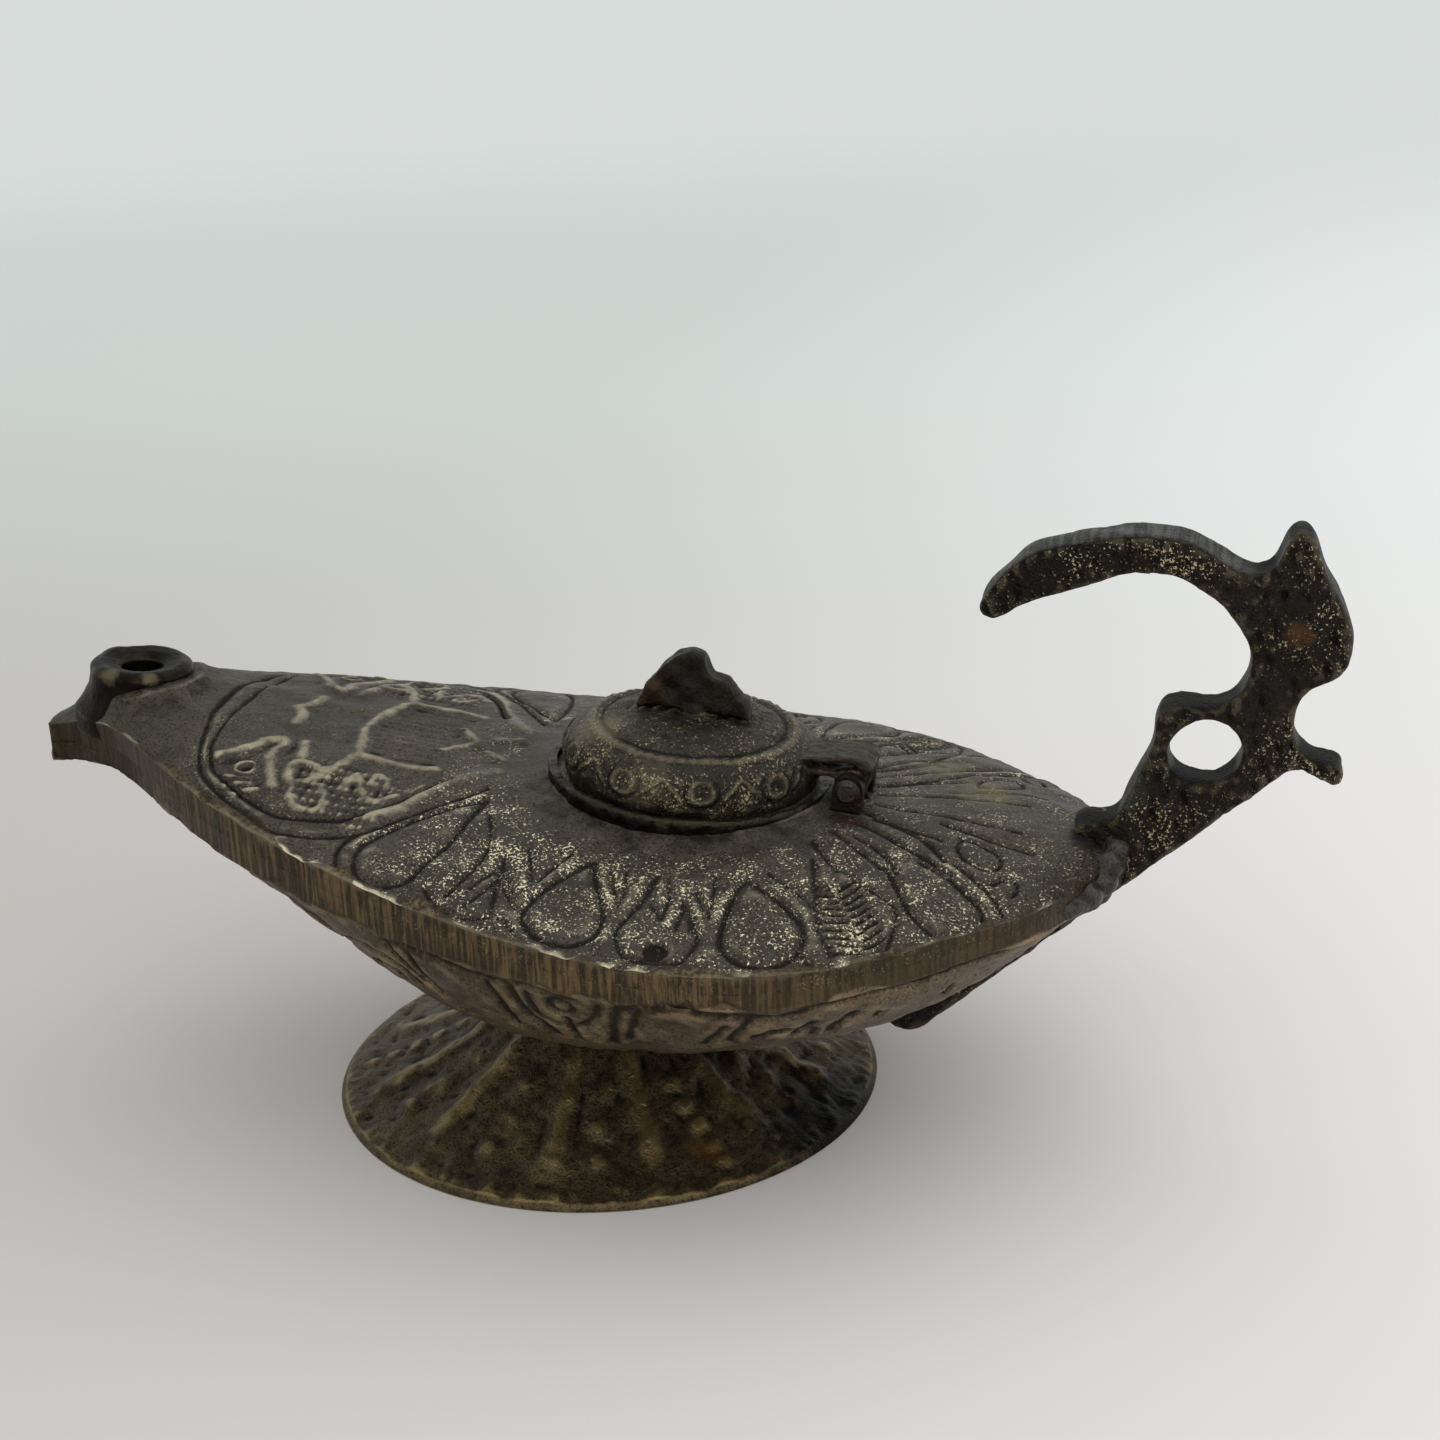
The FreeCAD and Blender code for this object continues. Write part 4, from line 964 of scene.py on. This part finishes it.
def make_braze():
    bpy.ops.object.select_all(action="DESELECT")
    blobs = []
    for x, y, z, radius in BRAZE:
        for side in (1, -1):
            bpy.ops.mesh.primitive_ico_sphere_add(
                subdivisions=3, radius=radius * MM, location=(x * MM, side * y * MM, z * MM))
            blobs.append(bpy.context.object)
    for blob in blobs:
        blob.select_set(True)
    bpy.ops.object.join()
    bpy.ops.object.transform_apply(location=True, rotation=True, scale=True)
    piece = bpy.context.object
    piece.name = piece.data.name = "stern_braze"
    return roughen(remesh(piece, 0.25, 6), (0.12, 3.0, 121), (0.04, 1.2, 123))



def make_handle():
    piece = from_cad("hook_handle", "handle", 0.28, 9)
    points, normals = get_points(piece), get_normals(piece)
    x, _, z = points.T
    flank, upward = np.abs(normals[:, 1]), normals[:, 2]
    pits = np.maximum(lumps(points, 2.1, 103) - 0.5, 0) * flank
    top = ease(upward, 0.45, 0.75) * ease(z, 58.0, 60.0) * ease(x, 73.0, 69.0)
    crust = ease(z, 62.0, 66.0) + ease(x, 76.0, 79.0) + 0.5 * ease(0.8 * x - z, 8.0, 13.0) \
        + 0.6 * lumps(points, 9.0, 107)
    # The relief darkens the upward faces other than the filed top: painted shade, set against the
    # light falling on them from above.
    paint(piece, filed=top, relief=-0.8 * ease(upward, 0.3, 0.7) * (1 - top),
          grain=np.clip(0.45 + 0.5 * crust, 0.15, 1.3) * flank)
    push_out(piece, 0.1 * lumps(points, 6.0, 101) - 0.35 * pits - 0.1
             + 0.08 * lumps(points, 1.5, 105) * flank)
    points = get_points(piece)
    points[:, 0] = np.minimum(points[:, 0], HANDLE_END)
    set_points(piece, points)
    return piece


def make_fin():
    return roughen(from_cad("lid_fin", "finial", 0.16, 12), (0.12, 2.8, 111), (0.03, 1.3, 113),
                   rise=-0.04)


# Materials -------------------------------------------------------------------------------------

def tint(red, green, blue):
    """A colour given in everyday 0 to 255 steps."""
    return (*(((c / 255 + 0.055) / 1.055) ** 2.4 for c in (red, green, blue)), 1.0)


def add(tree, kind, inputs=None, **settings):
    """A new node, its inputs linked to sockets or set to values."""
    node = tree.nodes.new(kind)
    for name, value in settings.items():
        setattr(node, name, value)
    for key, value in (inputs or {}).items():
        if isinstance(value, bpy.types.NodeSocket):
            tree.links.new(value, node.inputs[key])
        else:
            node.inputs[key].default_value = value
    return node


def mix(tree, share, first, second):
    return add(tree, "ShaderNodeMix", {0: share, 6: first, 7: second}, data_type="RGBA").outputs[2]


def sums(tree, operation, first, second, clamp=False):
    return add(tree, "ShaderNodeMath", {0: first, 1: second}, operation=operation,
               use_clamp=clamp).outputs[0]


def times(tree, first, second, clamp=False):
    return sums(tree, "MULTIPLY", first, second, clamp)


def plus(tree, first, *others):
    for other in others:
        first = sums(tree, "ADD", first, other)
    return first


def most(tree, first, second):
    return sums(tree, "MAXIMUM", first, second)


def band(tree, value, low, high, first=0.0, last=1.0):
    return add(tree, "ShaderNodeMapRange", {0: value, 1: low, 2: high, 3: first, 4: last},
               interpolation_type="SMOOTHSTEP").outputs[0]


def noise(tree, place, scale, detail, rough, warp=0.0):
    return add(tree, "ShaderNodeTexNoise",
               {"Vector": place, "Scale": scale, "Detail": detail, "Roughness": rough,
                "Distortion": warp}).outputs[0]


def object_place(tree):
    return add(tree, "ShaderNodeTexCoord").outputs["Object"]


def new_group(name, colours=(), numbers=(), vectors=(), gives=()):
    tree = bpy.data.node_groups.new(name, "ShaderNodeTree")
    for names, kind in ((colours, "NodeSocketColor"), (numbers, "NodeSocketFloat"),
                        (vectors, "NodeSocketVector")):
        for socket in names:
            tree.interface.new_socket(socket, in_out="INPUT", socket_type=kind)
    for socket, kind in gives:
        tree.interface.new_socket(socket, in_out="OUTPUT", socket_type=kind)
    return tree, tree.nodes.new("NodeGroupInput").outputs, tree.nodes.new("NodeGroupOutput").inputs


def patina_group():
    """Old cast brass: brown-black in the hollows and in painted shade, dull olive grey on the
    flats, golden specks that are partly the metal's own and partly painted glints, rubbed ridges,
    and a filed skin with fine marks."""
    tree, given, out = new_group(
        "old brass", colours=("Dark", "Mid", "Gold", "Filed Metal"),
        numbers=("Edge", "Relief", "Grain And Glints", "Filed", "Rub"), vectors=("Marks",),
        gives=(("Color", "NodeSocketColor"), ("Roughness", "NodeSocketFloat"),
               ("Height", "NodeSocketFloat")))
    place = object_place(tree)
    blotch = noise(tree, place, 75.0, 4.0, 0.6, 0.4)
    mottle = noise(tree, place, 380.0, 5.0, 0.65)
    specks = noise(tree, place, 3300.0, 2.0, 0.7)
    clusters = noise(tree, place, 260.0, 2.0, 0.5)
    pits = add(tree, "ShaderNodeTexVoronoi", {"Vector": place, "Scale": 620.0}).outputs["Distance"]
    pits = band(tree, pits, 0.28, 0.08)

    # The cast skin, its golden specks, partly the metal's own and partly painted glints, and the
    # soot between them.
    tone = plus(tree, times(tree, blotch, 0.5), times(tree, mottle, 0.5))
    colour = mix(tree, band(tree, tone, 0.34, 0.62, 0.5, 1.0), given["Dark"], given["Mid"])
    bright = plus(tree, specks, times(tree, mottle, 0.3), times(tree, clusters, 0.25),
                  times(tree, given["Grain And Glints"], 0.06))
    specks_and_glints = times(tree, band(tree, bright, 0.955, 0.995), given["Grain And Glints"], True)
    colour = mix(tree, specks_and_glints, colour, given["Gold"])
    colour = mix(tree, times(tree, band(tree, specks, 0.5, 0.36), 0.75), colour, given["Dark"])

    # Dirt in what lies low, painted shade where a piece's relief field holds it, and bright metal
    # on what stands out.
    stray = sums(tree, "SUBTRACT", mottle, 0.5)
    edge = plus(tree, given["Edge"], times(tree, stray, 0.9))
    cast = plus(tree, given["Relief"], times(tree, stray, 1.2))
    hollow = most(tree, band(tree, edge, -0.25, -0.85), band(tree, cast, -0.3, -0.85))
    ridge = most(tree, band(tree, edge, 0.3, 1.0), band(tree, cast, 0.3, 0.95))
    colour = mix(tree, times(tree, hollow, 0.86), colour, given["Dark"])
    colour = mix(tree, times(tree, ridge, given["Rub"]), colour, given["Gold"])

    # The filed skin: brown, with bare metal where the file bit.
    way = add(tree, "ShaderNodeMapping", {"Vector": place, "Scale": given["Marks"]}).outputs[0]
    lines = noise(tree, way, 1.0, 3.0, 0.6)
    bite = band(tree, plus(tree, times(tree, tone, 0.5), lines), 0.66, 0.88)
    bare = times(tree, given["Filed"], bite)
    brown = mix(tree, 0.13, given["Dark"], given["Filed Metal"])
    colour = mix(tree, band(tree, given["Filed"], 0.02, 0.3, 0.0, 0.85), colour, brown)
    colour = mix(tree, times(tree, bare, 0.6), colour, given["Filed Metal"])

    rough = plus(tree, times(tree, mottle, 0.3), 0.34, times(tree, hollow, 0.2),
                 times(tree, ridge, -0.14))
    rough = sums(tree, "ADD", rough, times(tree, bare, -0.08), clamp=True)
    height = plus(tree, times(tree, mottle, 0.55), times(tree, specks, 0.45),
                  times(tree, pits, -0.25), times(tree, times(tree, lines, given["Filed"]), 0.5))
    for socket, value in (("Color", colour), ("Roughness", rough), ("Height", height)):
        tree.links.new(value, out[socket])
    return tree


def stain_and_shade_group():
    """A patch of rust, verdigris, gold or painted shade: full at a point and ragged toward its
    edge.
    """
    tree, given, out = new_group("stain", numbers=("Reach",), vectors=("Centre",),
                                 gives=(("Mask", "NodeSocketFloat"),))
    place = object_place(tree)
    gap = add(tree, "ShaderNodeVectorMath", {0: place, 1: given["Centre"]}, operation="DISTANCE")
    share = sums(tree, "DIVIDE", gap.outputs["Value"], given["Reach"])
    ragged = times(tree, noise(tree, place, 520.0, 4.0, 0.65), 1.3)
    tree.links.new(band(tree, plus(tree, share, ragged), 1.5, 0.95), out["Mask"])
    return tree


OLD_BRASS, STAIN_AND_SHADE = patina_group(), stain_and_shade_group()

DARK, GOLD = tint(22, 20, 17), tint(172, 160, 124)
UMBER = tint(104, 72, 44)
RUST, REDDISH, VERDIGRIS = tint(128, 66, 30), tint(84, 42, 32), tint(84, 98, 78)
OCHRE, OLIVE, SHADE_BLACK = tint(132, 92, 44), tint(104, 100, 72), tint(12, 10, 9)


# How finely file marks lie along each axis, in waves to a metre: upright ones, and ones across
# a bar.
UPRIGHT_MARKS, CROSS_MARKS = (2000.0, 2000.0, 130.0), (1500.0, 130.0, 1500.0)


def brass(name, mid, gold=GOLD, dark=DARK, filed_metal=tint(124, 102, 70), grain=None,
          filed=None, marks=UPRIGHT_MARKS, rub=0.22, metal=0.75, depth=0.3, stains_and_shade=()):
    """One piece's old brass. The specks and glints, and filed, are numbers, or None for the
    piece's own fields.
    """
    material = bpy.data.materials.new(name)
    material.use_nodes = True
    tree = material.node_tree
    tree.nodes.clear()

    def field(title):
        return add(tree, "ShaderNodeAttribute", attribute_name=title).outputs["Fac"]

    skin = add(tree, "ShaderNodeGroup", node_tree=OLD_BRASS)
    for key, value in (("Dark", dark), ("Mid", mid), ("Gold", gold), ("Filed Metal", filed_metal),
                       ("Edge", field("edge")), ("Relief", field("relief")), ("Marks", marks),
                       ("Rub", field("rub") if rub is None else rub),
                       ("Grain And Glints", field("grain") if grain is None else grain),
                       ("Filed", field("filed") if filed is None else filed)):
        if isinstance(value, bpy.types.NodeSocket):
            tree.links.new(value, skin.inputs[key])
        else:
            skin.inputs[key].default_value = value
    colour = skin.outputs["Color"]
    for centre, reach, shade, strength in stains_and_shade:
        mask = add(tree, "ShaderNodeGroup", {"Centre": [c * MM for c in centre],
                                             "Reach": reach * MM}, node_tree=STAIN_AND_SHADE)
        colour = mix(tree, times(tree, mask.outputs["Mask"], strength), colour, shade)
    bump = add(tree, "ShaderNodeBump", {"Height": skin.outputs["Height"], "Strength": 0.85,
                                        "Distance": depth * MM})
    shader = add(tree, "ShaderNodeBsdfPrincipled",
                 {"Base Color": colour, "Roughness": skin.outputs["Roughness"], "Metallic": metal,
                  "Specular IOR Level": 0.3, "Normal": bump.outputs["Normal"]})
    add(tree, "ShaderNodeOutputMaterial", {"Surface": shader.outputs["BSDF"]})
    return material


# Assembly --------------------------------------------------------------------------------------

# The holes under the collar and the nozzle: middle, radius and, in the nozzle's, its floor.
deck = casting("chased_deck", deck_skin, DECK_COLUMNS, DECK_ROWS, deck_lining,
               mouth=(COLLAR_TOP[:2], 13.4), well=((-55.58, 0.0), 4.5, 41.3))
bowl = casting("cast_bowl", bowl_skin, BOWL_COLUMNS, BOWL_ROWS, bowl_lining)
foot_pad = turned("bowl_foot_pad", [(2.8, 11.4), (10.0, 11.4), (10.0, 14.4), (2.8, 14.4)],
                  120, 0.6)

# The deck's pale gold colours its specks, which are partly the metal's own and partly painted
# glints.
deck_brass = brass("deck brass", tint(80, 73, 64), gold=tint(226, 214, 178), rub=None, stains_and_shade=(
    ((30.6, -6.0, 36.0), 3.0, REDDISH, 0.4), ((34.0, 10.0, 36.5), 1.4, RUST, 0.5),
    ((44.0, 6.0, 35.0), 6.0, OLIVE, 0.6), ((38.0, 14.0, 35.0), 5.0, OLIVE, 0.6)))
# The bowl's brass is lighter than the deck's: painted light that makes up for the shade on the
# bowl's downward face.
bowl_brass_painted_lighter = brass("bowl brass painted lighter", tint(120, 104, 84), gold=tint(176, 154, 116), rub=0.5)
# The two large near-black patches on the foot are painted shade: on its right side, and at its top
# under the bowl.
foot_brass = brass("foot brass", tint(92, 79, 56), gold=tint(150, 130, 84),
                   dark=tint(13, 11, 9), grain=0.3, filed=0.0, rub=0.55, stains_and_shade=(
                       ((17.0, -20.0, 2.0), 3.6, OCHRE, 0.4),
                       ((33.0, -9.0, 3.0), 19.0, SHADE_BLACK, 0.97),
                       ((14.0, -6.0, 10.0), 8.0, SHADE_BLACK, 0.7)))
lid_brass = brass("lid brass", tint(58, 53, 45), gold=tint(176, 160, 122), grain=0.8, filed=0.0,
                  rub=0.16, depth=0.4, stains_and_shade=(((2.5, -5.5, 45.4), 5.0, GOLD, 0.2),
                                               ((10.0, -13.6, 42.0), 4.0, GOLD, 0.08)))
strap_brass = brass("strap brass", tint(62, 59, 55), grain=0.1, filed=0.2, stains_and_shade=(
    ((33.2, -3.0, 36.8), 2.4, RUST, 0.9),))
collar_brass = brass("collar brass", tint(20, 18, 16), gold=tint(112, 104, 84), grain=0.1,
                     filed=0.0, rub=0.16, metal=0.95)
nozzle_brass = brass("nozzle brass", tint(22, 17, 13), gold=tint(96, 86, 68), grain=0.05,
                     filed=0.0, rub=0.22, metal=0.9, stains_and_shade=(
                         ((-56.5, -5.4, 48.7), 1.8, GOLD, 0.22),
                         ((-51.5, -4.6, 48.2), 1.5, GOLD, 0.18)))
handle_brass = brass("handle brass", tint(38, 33, 29), gold=tint(196, 178, 138),
                     filed_metal=tint(84, 80, 74), marks=CROSS_MARKS, rub=0.1, depth=0.9,
                     stains_and_shade=(((76.8, -3.2, 58.3), 2.3, UMBER, 0.45),
                             ((60.0, -3.0, 40.0), 4.0, VERDIGRIS, 0.2)))
# The braze's two near-black patches are painted shade, in the recess where the handle meets the
# stern.
braze_brass = brass("braze", tint(74, 72, 68), gold=tint(104, 100, 92), grain=0.05, filed=0.0,
                    stains_and_shade=(((57.0, -2.0, 36.0), 2.4, SHADE_BLACK, 0.8),
                            ((59.4, -2.6, 35.6), 1.6, SHADE_BLACK, 0.6)))
fin_brass = brass("fin brass", tint(42, 37, 32), gold=tint(104, 84, 56), grain=0.15, filed=0.0,
                  stains_and_shade=(((6.6, -1.5, 49.0), 3.2, OCHRE, 0.14),))
hinge_brass = brass("hinge brass", tint(38, 35, 31), grain=0.1, filed=0.0)
pin_iron = brass("pin iron", tint(66, 63, 60), gold=tint(112, 108, 100), grain=0.1, filed=0.0,
                 stains_and_shade=(((31.4, -5.0, 38.2), 1.2, RUST, 0.5),))

for piece, body, nodes, slot, material, angle in (
        (deck, "lamp", ("deck",), "deck", deck_brass, 50),
        (bowl, "lamp", ("bowl",), "bowl", bowl_brass_painted_lighter, 50),
        (foot_pad, "lamp", ("bowl",), "bowl", foot_brass, 30),
        (make_foot(), "lamp", ("foot",), "foot", foot_brass, 60),
        (make_lid(), "lid", ("lid",), "lid", lid_brass, 60),
        (make_strap(), "lid", ("lid",), "lid", strap_brass, None),
        (make_collar(), "lamp", ("deck",), "deck", collar_brass, 50),
        (make_nozzle(), "lamp", ("deck",), "deck", nozzle_brass, 50),
        (make_pad(), "lamp", ("deck",), "deck", collar_brass, None),
        (make_handle(), "lamp", ("handle",), "handle", handle_brass, None),
        (make_braze(), "lamp", ("handle",), "handle", braze_brass, None),
        (make_fin(), "lid", ("finial",), "finial", fin_brass, None)):
    mark_edges(piece, piece in (deck, bowl))
    finish_piece(piece, body, nodes, material, angle)

for node, material in (("foot_washer", hinge_brass), ("foot_screw", hinge_brass),
                       ("hinge_ear_near", hinge_brass), ("hinge_ear_far", hinge_brass),
                       ("hinge_pin", pin_iron)):
    for material_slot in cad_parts[node].material_slots:
        material_slot.material = material


# Floor, light and camera -----------------------------------------------------------------------

FLOOR_REACH = 12.0
PALE = tint(216, 221, 220)


def seen_rays(tree):
    """One for the rays that show the background: the camera's, reflected and bent ones."""
    path = add(tree, "ShaderNodeLightPath").outputs
    seen = most(tree, path["Is Camera Ray"], path["Is Glossy Ray"])
    return most(tree, seen, path["Is Transmission Ray"])


bpy.ops.object.select_all(action="DESELECT")
bpy.ops.mesh.primitive_plane_add(size=2 * FLOOR_REACH)
floor = bpy.context.object
floor.name = floor.data.name = "floor"
paper = bpy.data.materials.new("pale paper")
paper.use_nodes = True
tree = paper.node_tree
tree.nodes.clear()
place = add(tree, "ShaderNodeSeparateXYZ", {0: object_place(tree)}).outputs
# The floor is painted darker at the near left and lighter to the right: painted light falling from
# the right.
painted_light_sideways = band(tree, place["X"], -0.15, 0.2)
near = mix(tree, painted_light_sideways, tint(192, 188, 183), tint(236, 233, 230))
far = mix(tree, painted_light_sideways, tint(206, 211, 206), tint(232, 235, 233))
shade = mix(tree, band(tree, place["Y"], 0.0, 0.45), near, far)
shader = add(tree, "ShaderNodeBsdfPrincipled", {"Base Color": shade, "Roughness": 0.9,
                                                "Specular IOR Level": 0.1})
horizon = add(tree, "ShaderNodeEmission", {"Color": PALE, "Strength": 1.0})
away = add(tree, "ShaderNodeVectorMath", {0: object_place(tree)}, operation="LENGTH")
fade = times(tree, band(tree, away.outputs["Value"], 0.4, 1.3), seen_rays(tree))
both = add(tree, "ShaderNodeMixShader", {0: fade, 1: shader.outputs[0], 2: horizon.outputs[0]})
add(tree, "ShaderNodeOutputMaterial", {"Surface": both.outputs[0]})
floor.data.materials.append(paper)

world = bpy.data.worlds.new("studio")
bpy.context.scene.world = world
world.use_nodes = True
tree = world.node_tree
tree.nodes.clear()
glow = add(tree, "ShaderNodeBackground", {"Color": tint(226, 228, 230), "Strength": 1.0})
pale = add(tree, "ShaderNodeBackground", {"Color": PALE, "Strength": 1.0})
both = add(tree, "ShaderNodeMixShader", {0: seen_rays(tree), 1: glow.outputs[0],
                                         2: pale.outputs[0]})
add(tree, "ShaderNodeOutputWorld", {"Surface": both.outputs[0]})


def soft_light(name, place, aim, size, watts):
    """A round light in a place, turned toward its aim."""
    light = bpy.data.lights.new(name, "AREA")
    light.shape, light.size, light.energy = "DISK", size, watts
    lamp = bpy.data.objects.new(name, light)
    lamp.location = place
    lamp.rotation_euler = (Vector(aim) - Vector(place)).to_track_quat("-Z", "Y").to_euler()
    bpy.context.collection.objects.link(lamp)


LAMP_MIDDLE = (0.0, 0.0, 0.03)
soft_light("overhead softbox", (0.2, 0.35, 1.0), LAMP_MIDDLE, 1.4, 3.0)
soft_light("front softbox", (0.35, -0.85, 0.8), LAMP_MIDDLE, 1.2, 3.2)

# The camera, worked out from the photograph's perspective: where it stands, in millimetres, and
# its yaw, pitch and roll.
EYE, LENS = (71.2, -223.5, 128.1), 55.0
YAW, PITCH, ROLL = (math.radians(a) for a in (-14.117, 19.831, -1.969))
forward = Vector((math.sin(YAW) * math.cos(PITCH), math.cos(YAW) * math.cos(PITCH),
                  -math.sin(PITCH)))
level = Vector((math.cos(YAW), -math.sin(YAW), 0.0))
above = level.cross(forward)
right = math.cos(ROLL) * level + math.sin(ROLL) * above
up = math.cos(ROLL) * above - math.sin(ROLL) * level
lens = bpy.data.cameras.new("camera")
lens.lens, lens.sensor_width = LENS, 36.0
camera = bpy.data.objects.new("camera", lens)
axes = Matrix((right, up, -forward)).transposed()
camera.matrix_world = Matrix.Translation(Vector(EYE) * MM) @ axes.to_4x4()
bpy.context.collection.objects.link(camera)
bpy.context.scene.camera = camera
bpy.context.scene.view_settings.view_transform = "Standard"
